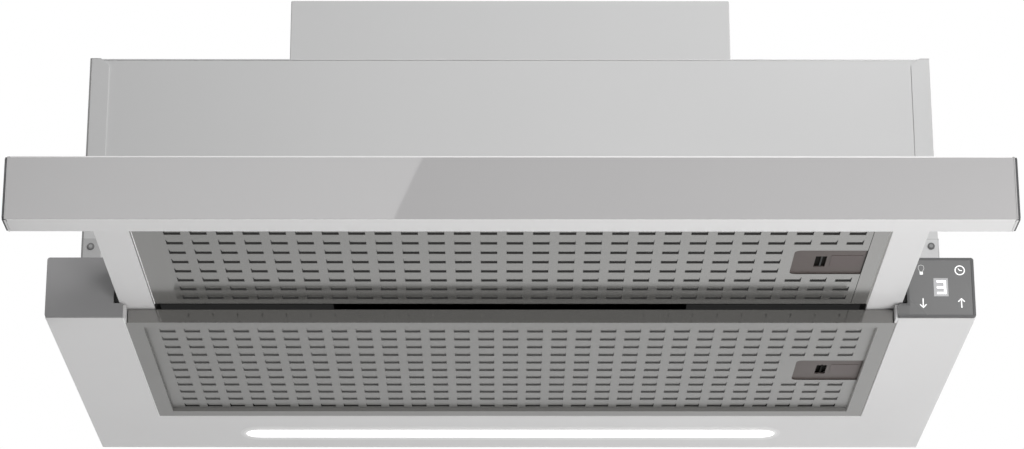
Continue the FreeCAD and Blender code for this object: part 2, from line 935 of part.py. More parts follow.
class GreaseFilter:
    """Sizes and places of one grease filter, with its base at its own level."""

    def __init__(self, wall_inside, gap, span, base, rim_back, grid, recess_offset):
        self.wall_inside = wall_inside
        self.half = wall_inside - gap
        self.front, self.rear = span
        self.base = base
        self.rim_back = rim_back
        margin, row_offset, self.shift = grid
        self.recess_right = self.half - rim_width
        self.recess_front = self.front + recess_offset
        self.first_row = self.front + row_offset
        across = 2 * (self.half - rim_width - margin) - hole_width
        self.columns = int(across / column_pitch) + 1
        along = self.rear - rim_back - self.first_row - hole_length
        self.rows = int(along / row_pitch) + 1

    @property
    def panel_bottom(self):
        return self.base + panel_recess

    @property
    def panel_top(self):
        return self.panel_bottom + filter_wall

    @property
    def backing_bottom(self):
        return self.panel_top + backing_gap

    @property
    def recess_floor(self):
        return self.panel_bottom + recess_depth

    @property
    def latch_bottom(self):
        return self.recess_floor + filter_wall + slide_fit

    @property
    def latch_y(self):
        return self.recess_front + recess_size / 2

    @property
    def slot_x(self):
        return self.recess_right - recess_size + pull_slot_centre

    def recess_box(self, grow):
        left = self.recess_right - recess_size
        rear = self.recess_front + recess_size
        return rectangle(left - grow, self.recess_right + grow, self.recess_front - grow, rear + grow)

    def recess_outline(self, grow):
        """Recess with its two left corners cut, which the pressing rounds."""
        (x0, y0), (x1, _), _, (_, y1) = self.recess_box(grow)
        cut = recess_radius
        return [(x0 + cut, y0), (x1, y0), (x1, y1), (x0 + cut, y1), (x0, y1 - cut), (x0, y0 + cut)]

    def hole_corners(self):
        left = self.recess_right - recess_size
        for row in range(self.rows):
            y = self.first_row + row * row_pitch
            for column in range(self.columns):
                x = self.shift + (column - (self.columns - 1) / 2) * column_pitch
                beside = x + hole_width / 2 < left
                ahead = y + hole_length / 2 < self.recess_front
                behind = y + hole_length / 2 > self.recess_front + recess_size
                if beside or ahead or behind:
                    yield rectangle(x - hole_width / 2, x + hole_width / 2, y, y + hole_length)


def hook_places(grease):
    return (grease.front + hook_margin, grease.rear - hook_margin)


def hook_slots(grease, inner, outer):
    """Slots in the left wall for the filter's hooks, tall enough for them to swing out."""
    slots = []
    for y in hook_places(grease):
        half = hook_width / 2 + fit
        low = grease.base + hook_height - fit
        slots.append(block(-outer - fit, -inner + fit, y - half, y + half, low, low + hook_rise + 2 * fit))
    return Part.makeCompound(slots)


def keeper_slot(grease, inner, outer):
    """Slot in the right wall for the latch tongue."""
    half = tongue_width / 2 + fit
    low = grease.latch_bottom - fit
    return block(inner - fit, outer + fit, grease.latch_y - half, grease.latch_y + half,
                 low, low + latch_thickness + 2 * fit)


def filter_slots(grease, inner, outer):
    return Part.makeCompound([hook_slots(grease, inner, outer), keeper_slot(grease, inner, outer)])


def filter_frame(grease):
    """Channel frame: outer wall, lower rim, step up to the panel and top lip, with hooks at the left."""
    half, front, rear, base = grease.half, grease.front, grease.rear, grease.base
    top = base + filter_height
    wall = filter_wall

    def tray(side, ahead, behind, low, high):
        return block(-half + side, half - side, front + ahead, rear - behind, low, high)

    back = grease.rim_back
    frame = tray(0, 0, 0, base, top)
    frame = frame.cut(tray(wall, wall, wall, base + wall, top - wall))
    frame = frame.cut(tray(rim_width, rim_width, back, base - overrun, base + wall + overrun / 2))
    frame = frame.cut(tray(top_lip, top_lip, min(top_lip, back), top - wall - fit, top + overrun))
    step = tray(rim_width - wall, rim_width - wall, back - wall, base, grease.panel_bottom)
    step = step.cut(tray(rim_width, rim_width, back, base - overrun, top))
    frame = fused([frame, step])
    hooks = []
    for y in hook_places(grease):
        hooks.append(block(-half - hook_reach, -half + wall, y - hook_width / 2, y + hook_width / 2,
                           base + hook_height, base + hook_height + wall))
    low = grease.latch_bottom - slide_fit
    slot = block(half - wall - fit, half + fit, grease.latch_y - tongue_width / 2 - fit,
                 grease.latch_y + tongue_width / 2 + fit, low, low + latch_thickness + 2 * slide_fit)
    return fused([frame] + hooks).cut(slot)


def filter_panel(grease):
    """Perforated sheet with the pressed latch recess."""
    edge = filter_wall + slide_fit
    corners = rectangle(-grease.half + edge, grease.half - edge, grease.front + edge, grease.rear - edge)
    wires = [closed_wire(corners, grease.panel_bottom)]
    for hole in grease.hole_corners():
        wires.append(closed_wire(hole, grease.panel_bottom))
    wires.append(closed_wire(grease.recess_outline(0), grease.panel_bottom))
    face = Part.makeFace(wires, "Part::FaceMakerBullseye")
    panel = face.extrude(Vector(0, 0, filter_wall))
    return fused([panel, recess_dish(grease)])


def recess_dish(grease):
    low, high = grease.panel_bottom, grease.recess_floor + filter_wall
    outer = prism(grease.recess_outline(filter_wall), "z", low, high)
    dish = outer.cut(prism(grease.recess_outline(0), "z", low - overrun, grease.recess_floor))
    y = grease.latch_y
    x = grease.slot_x
    channel_start = x + pull_slot_width / 2 + channel_gap
    channel = block(channel_start, grease.recess_right, y - channel_width / 2, y + channel_width / 2,
                    grease.recess_floor - channel_rise, grease.recess_floor)
    slot = block(x - pull_slot_width / 2, x + pull_slot_width / 2, y - pull_slot_length / 2,
                 y + pull_slot_length / 2, low - overrun, high + overrun)
    return fused([dish, channel]).cut(slot)


def recess_clearance(grease, bottom, top):
    grow = filter_wall + recess_ring
    left = grease.recess_right - recess_size - grow
    rear = grease.recess_front + recess_size + grow
    return block(left, grease.half, grease.recess_front - grow, rear, bottom, top)


def filter_backing(grease):
    """Second sheet behind the first, vented between the rows of holes."""
    edge = filter_wall + slide_fit
    bottom = grease.backing_bottom
    top = bottom + backing_thickness
    half = grease.half - edge
    corners = rectangle(-half, half, grease.front + edge, grease.rear - edge)
    wires = [closed_wire(corners, bottom)]
    reach = (grease.columns - 1) / 2 * column_pitch + hole_width / 2
    for row in range(grease.rows - 1):
        y = grease.first_row + row * row_pitch + hole_length + vent_offset
        right = grease.shift + reach
        if grease.recess_front - row_pitch < y < grease.recess_front + recess_size + filter_wall + vent_width:
            right = grease.recess_right - recess_size - column_pitch / 2
        wires.append(closed_wire(rectangle(grease.shift - reach, right, y, y + vent_width), bottom))
    sheet_shape = Part.makeFace(wires, "Part::FaceMakerBullseye").extrude(Vector(0, 0, backing_thickness))
    return sheet_shape.cut(recess_clearance(grease, bottom - overrun, top + overrun))


def filter_mesh(grease):
    """Pad of knitted mesh between the backing sheet and the frame's top lip."""
    edge = filter_wall + slide_fit
    bottom = grease.backing_bottom + backing_thickness
    top = grease.base + filter_height - filter_wall
    pad = block(-grease.half + edge, grease.half - edge, grease.front + edge, grease.rear - edge, bottom, top)
    return pad.cut(recess_clearance(grease, bottom - overrun, top + overrun))


def filter_latch(grease):
    """Sprung slider behind the recess, with a pull in the slot and a tongue through the frame."""
    x, y, low = grease.slot_x, grease.latch_y, grease.latch_bottom
    high = low + latch_thickness
    shoulder = grease.half - filter_wall - latch_throw - 2 * fit
    plate = block(x - latch_tail, shoulder, y - latch_width / 2, y + latch_width / 2, low, high)
    side = tongue_width / 2
    tongue = block(shoulder, grease.wall_inside - tongue_gap, y - side, y + side, low, high)
    pull_x = x - pull_slot_width / 2 + latch_pull + fit
    half = pull_slot_length / 2 - fit
    pull = block(pull_x, pull_x + pull_thickness, y - half, y + half, low - pull_height, low)
    return fused([plate, tongue, pull])


def latch_spring(grease):
    """Flat coil pack between the slider's tail and a stop pressed in the recess."""
    end = grease.slot_x - latch_tail - latch_pull - fit
    y = grease.latch_y
    low = grease.latch_bottom - slide_fit
    return block(end - spring_length, end, y - spring_width / 2, y + spring_width / 2, low,
                 low + latch_thickness)


rear_filter = GreaseFilter(
    opening_half, rear_filter_gap, (rear_filter_front, beam_front - rear_filter_back_gap),
    rear_filter_base, rear_rim_back, (rear_hole_margin, rear_row_offset, rear_grid_shift),
    rear_recess_offset)
front_filter = GreaseFilter(
    arm_inner, front_filter_gap, (facia_back + front_filter_front_gap, front_filter_rear),
    front_filter_base, front_rim_back, (front_hole_margin, front_row_offset, front_grid_shift),
    front_recess_offset)


def build_nodes():
    nodes = {
        "lower_frame": lower_frame(),
        "left_end_cap": mirrored(end_cap()),
        "control_housing": control_housing(),
        "touch_panel": touch_panel(),
        "display_module": display_module(),
        "control_board": control_board(),
        "light_diffuser": light_diffuser(),
        "led_board": led_board(),
        "right_side_panel": side_panel(),
        "left_side_panel": mirrored(side_panel()),
        "front_panel": front_panel(),
        "back_panel": back_panel(),
        "top_panel": top_panel(),
        "motor_box": motor_box(),
        "tab_screws": tab_screws(),
        "outlet_collar": outlet_collar(),
        "flap_pin": flap_pin(),
        "front_flap": flap(-1, -knuckle_x),
        "rear_flap": flap(1, knuckle_x),
        "fan_housing_right": fan_housing_right(),
        "fan_housing_left": fan_housing_left(),
        "fan_wheel": fan_wheel(),
        "fan_shaft": fan_shaft(),
        "motor_body": motor_body(),
        "motor_bushes": motor_bushes(),
        "capacitor": capacitor(),
        "electronics_box": electronics_box(),
        "electronics_lid": electronics_lid(),
        "cable_gland": cable_gland(),
        "right_outer_rail": outer_rail(),
        "left_outer_rail": mirrored(outer_rail()),
        "rail_glides": rail_glides(),
        "drawer_switch": drawer_switch(),
        "switch_plunger": switch_plunger(),
        "facia_glass": facia_glass(),
        "facia_profile": facia_profile(),
        "right_facia_cap": facia_end_cap(),
        "left_facia_cap": mirrored(facia_end_cap()),
        "right_arm": right_arm(),
        "left_arm": left_arm(),
        "drawer_top": drawer_top(),
        "rear_crossbar": rear_crossbar(),
        "right_inner_rail": inner_rail(),
        "left_inner_rail": mirrored(inner_rail()),
        "drawer_glides": drawer_glides(),
    }
    for name, grease in (("front", front_filter), ("rear", rear_filter)):
        nodes[name + "_filter_frame"] = filter_frame(grease)
        nodes[name + "_filter_panel"] = filter_panel(grease)
        nodes[name + "_filter_backing"] = filter_backing(grease)
        nodes[name + "_filter_mesh"] = filter_mesh(grease)
        nodes[name + "_filter_latch"] = filter_latch(grease)
        nodes[name + "_latch_spring"] = latch_spring(grease)
    return nodes


def main():
    os.makedirs("parts", exist_ok=True)
    for name, shape in build_nodes().items():
        shape.translate(Vector(0, -middle_y, 0))
        shape.exportStep("parts/" + name + ".step")
        print(name, len(shape.Solids), round(shape.Volume))


main()
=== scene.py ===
import json
import math

import bmesh
import bpy
from mathutils import Matrix, Vector

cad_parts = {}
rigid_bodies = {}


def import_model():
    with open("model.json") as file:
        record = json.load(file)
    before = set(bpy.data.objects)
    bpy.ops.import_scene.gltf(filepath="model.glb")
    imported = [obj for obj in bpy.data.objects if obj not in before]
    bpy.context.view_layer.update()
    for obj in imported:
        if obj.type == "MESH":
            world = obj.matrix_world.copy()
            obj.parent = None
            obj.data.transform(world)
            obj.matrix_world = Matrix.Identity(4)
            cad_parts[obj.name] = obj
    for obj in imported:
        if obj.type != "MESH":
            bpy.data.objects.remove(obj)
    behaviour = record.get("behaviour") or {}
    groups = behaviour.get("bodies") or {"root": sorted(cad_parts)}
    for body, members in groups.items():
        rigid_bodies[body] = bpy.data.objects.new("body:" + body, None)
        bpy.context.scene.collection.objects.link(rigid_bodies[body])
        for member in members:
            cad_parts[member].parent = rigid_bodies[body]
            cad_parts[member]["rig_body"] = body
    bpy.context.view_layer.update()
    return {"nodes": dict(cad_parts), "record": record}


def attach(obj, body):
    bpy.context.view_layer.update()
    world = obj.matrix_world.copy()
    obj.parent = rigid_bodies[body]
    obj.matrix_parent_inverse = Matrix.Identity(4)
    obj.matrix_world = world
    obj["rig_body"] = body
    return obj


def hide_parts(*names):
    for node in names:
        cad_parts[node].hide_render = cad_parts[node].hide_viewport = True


# The looks of a telescopic range hood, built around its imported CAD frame. The pieces are drawn in
# millimetres along the CAD source's own axes and go through mm(). Bends and tolerances, the
# lamps and the stage's cards are in metres.

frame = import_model()
nodes = frame["nodes"]

scene = bpy.context.scene
scene.view_settings.view_transform = "Standard"

# The CAD draws y from the lower frame's front face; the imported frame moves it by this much
middle_y_mm = 64.9


def mm(x, y, z):
    """A point given in the CAD source's own millimetres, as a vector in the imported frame."""
    return Vector((x, y - middle_y_mm, z)) / 1000


# Materials


def new_material(name):
    material = bpy.data.materials.new(name)
    material.use_nodes = True
    tree = material.node_tree
    shader = tree.nodes["Principled BSDF"]
    return material, tree, shader


def add(tree, kind, **values):
    """New node; a value named in_ and an input's name sets that input, any other a property."""
    node = tree.nodes.new(kind)
    for key, value in values.items():
        if key.startswith("in_"):
            node.inputs[key[3:].replace("_", " ")].default_value = value
        else:
            setattr(node, key, value)
    return node


def object_coords(tree, scale=(1, 1, 1)):
    coords = add(tree, "ShaderNodeTexCoord")
    mapping = add(tree, "ShaderNodeMapping", in_Scale=scale)
    tree.links.new(coords.outputs["Object"], mapping.inputs["Vector"])
    return mapping.outputs["Vector"]


def noise(tree, vector, scale, detail=3.0):
    node = add(tree, "ShaderNodeTexNoise", in_Scale=scale, in_Detail=detail, in_Roughness=0.55)
    tree.links.new(vector, node.inputs["Vector"])
    return node.outputs["Fac"]


def ramp(tree, fac, low, high, from_low=0.3, from_high=0.7):
    """Number that runs from low to high as the input runs over a span."""
    node = add(tree, "ShaderNodeMapRange", in_From_Min=from_low, in_From_Max=from_high,
               in_To_Min=low, in_To_Max=high)
    tree.links.new(fac, node.inputs["Value"])
    return node.outputs["Result"]


def tinted(tree, fac, colour, spread):
    """Colour that varies a little either side of the one given.

    The mix node's colours are its inputs 6 and 7, and the mixed one is its output 2."""
    node = add(tree, "ShaderNodeMix", data_type="RGBA")
    low = [c * (1 - spread) for c in colour] + [1]
    high = [min(1, c * (1 + spread)) for c in colour] + [1]
    node.inputs[6].default_value = low
    node.inputs[7].default_value = high
    tree.links.new(fac, node.inputs[0])
    return node.outputs[2]


def bumped(tree, shader, height, strength, distance):
    node = add(tree, "ShaderNodeBump", in_Strength=strength, in_Distance=distance)
    tree.links.new(height, node.inputs["Height"])
    tree.links.new(node.outputs["Normal"], shader.inputs["Normal"])


# Scale of the slow drift in colour and gloss, and the span of a normal's z over which the glow
# of a face that looks down fades out
drift_scale = 9.0
down_span = (-0.6, -0.4)


def surface(name, colour, rough=(0.35, 0.45), metal=0.0, spread=0.02, grain=900.0, bump=0.05,
            depth=0.00005, stretch=(1, 1, 1), ior=1.5, glow=0.0):
    """Painted, moulded or drawn surface with fine grain, slow colour drift and uneven gloss.

    grain and stretch are the fine noise's scale, bump and depth its relief. glow is painted
    light: emission on faces that look down, standing for lamp light that shines through or beside them."""
    material, tree, shader = new_material(name)
    fine = noise(tree, object_coords(tree, stretch), grain)
    slow = noise(tree, object_coords(tree), drift_scale, detail=2.0)
    tree.links.new(tinted(tree, slow, colour, spread), shader.inputs["Base Color"])
    tree.links.new(ramp(tree, slow, rough[0], rough[1]), shader.inputs["Roughness"])
    shader.inputs["Metallic"].default_value = metal
    shader.inputs["IOR"].default_value = ior
    shader.inputs["Emission Color"].default_value = (1, 1, 1, 1)
    if glow:
        facing = add(tree, "ShaderNodeSeparateXYZ")
        geometry = add(tree, "ShaderNodeNewGeometry")
        tree.links.new(geometry.outputs["True Normal"], facing.inputs[0])
        strength = ramp(tree, facing.outputs[2], glow, 0.0, *down_span)
        tree.links.new(strength, shader.inputs["Emission Strength"])
    bumped(tree, shader, fine, bump, depth)
    return material


def glowing(name, colour, strength):
    material, tree, shader = new_material(name)
    shader.inputs["Base Color"].default_value = (*colour, 1)
    shader.inputs["Emission Color"].default_value = (*colour, 1)
    shader.inputs["Emission Strength"].default_value = strength
    return material


white_paint = surface("white_paint", (0.65, 0.645, 0.645))
body_paint = surface("body_paint", (0.615, 0.615, 0.615), rough=(0.5, 0.6), ior=1.25)
facia_paint = surface("facia_paint", (0.65, 0.645, 0.645))
facia_front = surface("facia_front", (0.305, 0.3, 0.301), rough=(0.018, 0.026), bump=0.0)
cap_plastic = surface("cap_plastic", (0.05, 0.05, 0.052), rough=(0.45, 0.55), grain=2500)
grey_plastic = surface("grey_plastic", (0.235, 0.232, 0.235), rough=(0.42, 0.5), grain=2500, bump=0.1)
rim_plastic = surface("rim_plastic", (0.08, 0.08, 0.081), rough=(0.4, 0.5), grain=2500)
touch_face = surface("touch_face", (0.126, 0.126, 0.126), rough=(0.25, 0.3), bump=0.01)
foot_face = surface("foot_face", (0.11, 0.11, 0.11), rough=(0.25, 0.3), bump=0.01)
display_face = surface("display_face", (0.37, 0.37, 0.375), rough=(0.2, 0.25), bump=0.0)
print_white = surface("print_white", (0.95, 0.95, 0.95), rough=(0.4, 0.5), bump=0.0)
print_grey = surface("print_grey", (0.45, 0.45, 0.45), rough=(0.4, 0.5), bump=0.0)
black_plastic = surface("black_plastic", (0.035, 0.035, 0.04), rough=(0.5, 0.6), grain=1800, bump=0.2)
zinc = surface("zinc", (0.42, 0.43, 0.44), rough=(0.3, 0.42), metal=1.0, grain=300, spread=0.1)
screw_metal = surface("screw_metal", (0.12, 0.12, 0.12), rough=(0.4, 0.5), metal=0.2, grain=600)
screw_recess = surface("screw_recess", (0.25, 0.25, 0.25), rough=(0.4, 0.5), metal=0.2, grain=600)
# Darker paint for painted shade along the tabs' edges
tab_edge_painted_shade = surface("tab_edge_painted_shade", (0.5, 0.5, 0.5), rough=(0.5, 0.6), ior=1.25)
# Darker copy of the body paint: painted shade on the left tab
left_tab_painted_shade = surface("left_tab_painted_shade", (0.49, 0.49, 0.49), rough=(0.5, 0.6), ior=1.25)
shade_paint = surface("shade_paint", (0.2, 0.2, 0.2))
nylon = surface("nylon", (0.8, 0.78, 0.7), rough=(0.5, 0.6))
rubber = surface("rubber", (0.03, 0.03, 0.03), rough=(0.7, 0.8))
# Black with a little painted glow, standing for the shade in the gap behind the filters
black_with_painted_glow = surface("black_with_painted_glow", (0.03, 0.03, 0.03), rough=(0.7, 0.8), glow=0.018)
board_green = surface("board_green", (0.03, 0.16, 0.06), rough=(0.3, 0.4))
can_metal = surface("can_metal", (0.75, 0.75, 0.76), rough=(0.25, 0.35), metal=1.0,
                    stretch=(1, 0.02, 1))
filter_metal = surface("filter_metal", (0.205, 0.202, 0.194), rough=(0.14, 0.18), metal=0.75,
                       spread=0.03, grain=1400, bump=0.02)
rear_filter_metal = surface("rear_filter_metal", (0.205, 0.202, 0.196), rough=(0.33, 0.37), metal=0.3,
                            spread=0.03, grain=1400, bump=0.02)
band_metal = surface("band_metal", (0.285, 0.28, 0.271), rough=(0.09, 0.11), metal=0.95,
                     spread=0.03, grain=1400, bump=0.02)
# Filter metal with painted glow on faces that look down, for the front frame's inner ledge
inner_metal_painted_glow = surface("inner_metal_painted_glow", (0.205, 0.202, 0.194), rough=(0.4, 0.5), grain=1400, glow=0.03)
rim_side = surface("rim_side", (0.2, 0.197, 0.19), rough=(0.4, 0.5), metal=0.2, grain=1400)
# Lighter copy of the filter metal: painted light on walls that would be in shade
rim_cheek_painted_light = surface("rim_cheek_painted_light", (0.45, 0.445, 0.43), rough=(0.4, 0.5), grain=1400)
recess_metal = surface("recess_metal", (0.098, 0.082, 0.077), rough=(0.45, 0.55), grain=1400, ior=1.3)
# Lighter tone for the recess walls: painted light where they would be in shade
recess_wall_painted_light = surface("recess_wall_painted_light", (0.3, 0.27, 0.26), rough=(0.45, 0.55), grain=1400, ior=1.3)
channel_metal = surface("channel_metal", (0.1, 0.081, 0.078), rough=(0.45, 0.55), grain=1400, ior=1.3)
latch_metal = surface("latch_metal", (0.008, 0.007, 0.006), rough=(0.6, 0.7), ior=1.1)
pad_metal = surface("pad_metal", (0.3, 0.3, 0.29), rough=(0.5, 0.7), metal=0.4, grain=500, bump=0.8,
                    depth=0.0006)
# The rear pad's metal, lighter and with painted glow on faces that look down
rear_pad_painted_glow = surface("rear_pad_painted_glow", (0.4, 0.4, 0.39), rough=(0.5, 0.7), metal=0.4, grain=500,
                         bump=0.8, depth=0.0006, glow=0.048)
lamp_core = glowing("lamp_core", (1.0, 1.0, 1.0), 1.2)
# Paint with painted glow, weaker outwards, for the rings round the lamp's lens
lamp_rim_painted_glow = surface("lamp_rim_painted_glow", (0.65, 0.645, 0.645), glow=0.26)
halo_painted_glow = surface("halo_painted_glow", (0.65, 0.645, 0.645), glow=0.12)
outer_halo_painted_glow = surface("outer_halo_painted_glow", (0.65, 0.645, 0.645), glow=0.05)
# Pale paint for painted highlights along edges
painted_edge_highlight = surface("painted_edge_highlight", (0.85, 0.845, 0.845), rough=(0.3, 0.4))

finishes = {
    "white_paint": white_paint,
    "body_paint": body_paint,
    "grey_plastic": grey_plastic,
    "touch_face": touch_face,
    "display_face": display_face,
    "circuit_board": board_green,
    "lamp_lens": lamp_core,
    "plated_screw": screw_metal,
    "black_plastic": black_plastic,
    "steel": zinc,
    "rubber_black": rubber,
    "can_metal": can_metal,
    "nylon": nylon,
    "facia_front": facia_front,
    "facia_metal": facia_paint,
    "filter_aluminium": filter_metal,
    "filter_pad": pad_metal,
    "latch_metal": latch_metal,
}
own_finish = {
    "rear_filter_mesh": rear_pad_painted_glow,
    "rear_filter_frame": rear_filter_metal,
    "right_facia_cap": cap_plastic,
    "left_facia_cap": cap_plastic,
    "control_housing": rim_plastic,
}
slot_of = {row["node"]: row["material_slot"] for row in frame["record"]["subparts"]}


def dress(obj, material):
    obj.data.materials.clear()
    obj.data.materials.append(material)


def finish_of(node):
    return own_finish.get(node, finishes[slot_of[node]])


for name, obj in nodes.items():
    dress(obj, finish_of(name))


# Mesh helpers

# Limits, in metres and radians, that tell a bend from a broken edge and one level from another
weld_gap = 2e-6
flat_turn = math.radians(0.5)
least_fold = math.radians(28)
narrow_face = 0.003
same_level = 0.0002
band_reach = 0.001


def link(name, mesh, material, body):
    obj = bpy.data.objects.new(name, mesh)
    scene.collection.objects.link(obj)
    dress(obj, material)
    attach(obj, body)
    return obj


def mesh_from(bm, name):
    mesh = bpy.data.meshes.new(name)
    bm.to_mesh(mesh)
    bm.free()
    return mesh


def walls(bm, ring, other):
    """Side faces between two rings of vertices, one for each pair of neighbours."""
    faces = []
    for k in range(len(ring)):
        m = (k + 1) % len(ring)
        faces.append(bm.faces.new((ring[k], ring[m], other[m], other[k])))
    return faces


def fill_between(bm, outer, hole):
    """Flat faces between a ring of vertices and the ring of the hole in it."""
    edges = []
    for ring in (outer, hole):
        edges += [bm.edges.get((ring[k - 1], ring[k])) for k in range(len(ring))]
    bmesh.ops.triangle_fill(bm, edges=edges, use_beauty=True)


def face_reach(face, edge):
    """How far a face reaches from one of its edges."""
    start = edge.verts[0].co
    run = (edge.verts[1].co - start).normalized()
    reach = 0.0
    for vert in face.verts:
        arm = vert.co - start
        reach = max(reach, (arm - run * arm.dot(run)).length)
    return reach


def weigh_edges(bm, small_share):
    """Bevel weights: a full bend between two wide faces, a small one on the other sharp edges."""
    weight = bm.edges.layers.float.new("bevel_weight_edge")
    for edge in bm.edges:
        if not edge.is_manifold or edge.calc_face_angle(0) < least_fold:
            continue
        wide = min(face_reach(face, edge) for face in edge.link_faces) > narrow_face
        edge[weight] = 1.0 if wide and edge.is_convex else small_share


def paint_faces(mesh, material, chosen):
    """Gives a further material to the faces that a test picks."""
    mesh.materials.append(material)
    for polygon in mesh.polygons:
        if chosen(polygon):
            polygon.material_index = len(mesh.materials) - 1


def softened(node, bend=0.0008, edge=0.0002, sides=None, outer=None, moved=(), band=None):
    """A folded-metal version of a CAD piece: round bends, broken edges, the same outline.

    sides is a material for the upright faces and band one for the foremost of them, outer a half
    width that the piece is kept to, and moved holds pairs of CAD y that an edge goes from and to."""
    name = node + "_skin"
    bm = bmesh.new()
    bm.from_mesh(nodes[node].data)
    bmesh.ops.remove_doubles(bm, verts=bm.verts, dist=weld_gap)
    bmesh.ops.dissolve_limit(bm, angle_limit=flat_turn, verts=bm.verts, edges=bm.edges)
    bm.normal_update()
    weigh_edges(bm, edge / bend)
    if outer:
        for vert in bm.verts:
            vert.co.x = max(-outer, min(outer, vert.co.x))
    for y_old, y_new in moved:
        for vert in bm.verts:
            if abs(vert.co.y - mm(0, y_old, 0).y) < same_level:
                vert.co.y = mm(0, y_new, 0).y
    mesh = mesh_from(bm, name)
    obj = link(name, mesh, finish_of(node), nodes[node]["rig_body"])
    if sides:
        paint_faces(mesh, sides, lambda face: abs(face.normal.z) < 0.5)
    if band:
        front = min(vert.co.y for vert in mesh.vertices)
        # Faces that look to the left get a lighter metal, as painted light
        paint_faces(mesh, rim_cheek_painted_light, lambda face: face.normal.x < -0.5)
        paint_faces(mesh, band,
                    lambda face: face.normal.y < -0.5 and face.center.y < front + band_reach)
    bevel = obj.modifiers.new("edges", "BEVEL")
    bevel.limit_method = "WEIGHT"
    bevel.width = bend
    bevel.segments = 3
    bevel.use_clamp_overlap = False
    bevel.harden_normals = False
    smooth = obj.modifiers.new("normals", "WEIGHTED_NORMAL")
    smooth.keep_sharp = True
    for polygon in mesh.polygons:
        polygon.use_smooth = True
    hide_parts(node)
    return obj


def extruded(name, points, axis, start, end, material, body, bevel=0.0):
    """Solid from an outline in millimetres, drawn across one axis of the CAD source."""
    bm = bmesh.new()
    rings = []
    for level in (start, end):
        ring = []
        for a, b in points:
            place = {"x": (level, a, b), "y": (a, level, b), "z": (a, b, level)}[axis]
            ring.append(bm.verts.new(mm(*place)))
        rings.append(ring)
    bm.faces.new(rings[0])
    bm.faces.new(rings[1][::-1])
    walls(bm, rings[1], rings[0])
    bmesh.ops.recalc_face_normals(bm, faces=bm.faces)
    if bevel:
        bmesh.ops.bevel(bm, geom=bm.edges[:], offset=bevel / 1000, segments=2, affect="EDGES",
                        clamp_overlap=True)
    return link(name, mesh_from(bm, name), material, body)


def joined(name, pieces):
    """One object from several, kept on the first one's body and material."""
    bm = bmesh.new()
    for piece in pieces:
        bm.from_mesh(piece.data)
    first = pieces[0]
    obj = link(name, mesh_from(bm, name), first.data.materials[0], first["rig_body"])
    for piece in pieces:
        bpy.data.objects.remove(piece)
    return obj


def box_outline(a0, a1, b0, b1):
    return [(a0, b0), (a1, b0), (a1, b1), (a0, b1)]


def disc_outline(a, b, radius, count):
    turn = 2 * math.pi / count
    return [(a + radius * math.cos(i * turn), b + radius * math.sin(i * turn)) for i in range(count)]


def placed(at, points):
    """Points of an outline drawn round a place."""
    return [(at[0] + a, at[1] + b) for a, b in points]


def trim(name, strips, material, body):
    """Thin square strips in one object, each given by its spans in x, y and z in millimetres."""
    pieces = [extruded("strip", box_outline(*sorted(x), *y), "z", *z, material, body)
              for x, y, z in strips]
    obj = joined(name, pieces)
    return obj


def both_sides(inner, outer):
    """One span in x on the left and the same one on the right."""
    return (-inner, -outer), (inner, outer)


# Sheet metal and plastic pieces

fine_bend = 0.0001
rear_bend, rear_edge = 0.00025, 0.00015
moulded_edge = 0.0003
left_arm_half_width = 0.2515

# The front frame's front and rear lips reach less far in than the solid's, as CAD y in mm
front_lips_mm = ((-148.1, -157.0), (3.0, 5.4))
inner_level = mm(0, 0, 13.0).z

for node in ("lower_frame", "right_side_panel", "left_side_panel", "front_panel", "motor_box",
             "rear_crossbar", "facia_profile"):
    softened(node)
softened("right_arm", bend=fine_bend, edge=fine_bend)
softened("left_arm", bend=fine_bend, edge=fine_bend, outer=left_arm_half_width)
front_skin = softened("front_filter_frame", bend=fine_bend, edge=fine_bend, sides=rim_side,
                      moved=front_lips_mm)
# The front frame's inner ledge gets painted glow on its faces that look down
paint_faces(front_skin.data, inner_metal_painted_glow,
            lambda face: face.normal.z < -0.5 and face.center.z > inner_level)
softened("rear_filter_frame", bend=rear_bend, edge=rear_edge, sides=rim_side, band=band_metal)
for node in ("top_panel", "back_panel", "drawer_top", "facia_glass", "right_facia_cap",
             "left_facia_cap", "left_end_cap", "control_housing", "electronics_lid"):
    softened(node, bend=moulded_edge, edge=moulded_edge)

# Touch control

face_y, plate_back_y = 0.15, 1.35
print_y = (face_y - 0.04, face_y)
print_step = 0.008
lap_share = 0.35


def stroke(points, width, closed=False):
    """Outlines of the straight pieces of a drawn line, each a little longer than its run."""
    outlines = []
    count = len(points)
    for i in range(count if closed else count - 1):
        a, b = Vector(points[i]), Vector(points[(i + 1) % count])
        along = (b - a).normalized() * width * lap_share
        side = Vector((-along.y, along.x)).normalized() * width / 2
        a, b = a - along, b + along
        outlines.append([tuple(a - side), tuple(b - side), tuple(b + side), tuple(a + side)])
    return outlines


def printed(name, outlines, material=print_white):
    """Thin raised print; strokes that cross differ a little in height, so no faces coincide."""
    pieces = []
    for i, outline in enumerate(outlines):
        front = print_y[0] - print_step * (i % 3)
        pieces.append(extruded("print", outline, "y", front, print_y[1], material, "housing"))
    joined(name, pieces)


arrow_z, arrow_length, arrow_head, arrow_line = 9.6, 5.9, 1.9, 0.7


def arrow(name, x, way):
    """Arrow that points up, or down where way is -1."""
    tip = arrow_z + way * arrow_length / 2
    barb = tip - way * arrow_head
    lines = stroke([(x, arrow_z - way * arrow_length / 2), (x, tip)], arrow_line)
    lines += stroke([(x - arrow_head, barb), (x, tip), (x + arrow_head, barb)], arrow_line)
    printed(name, lines)


arrow("arrow_down", 265.3, -1)
arrow("arrow_up", 290.0, 1)

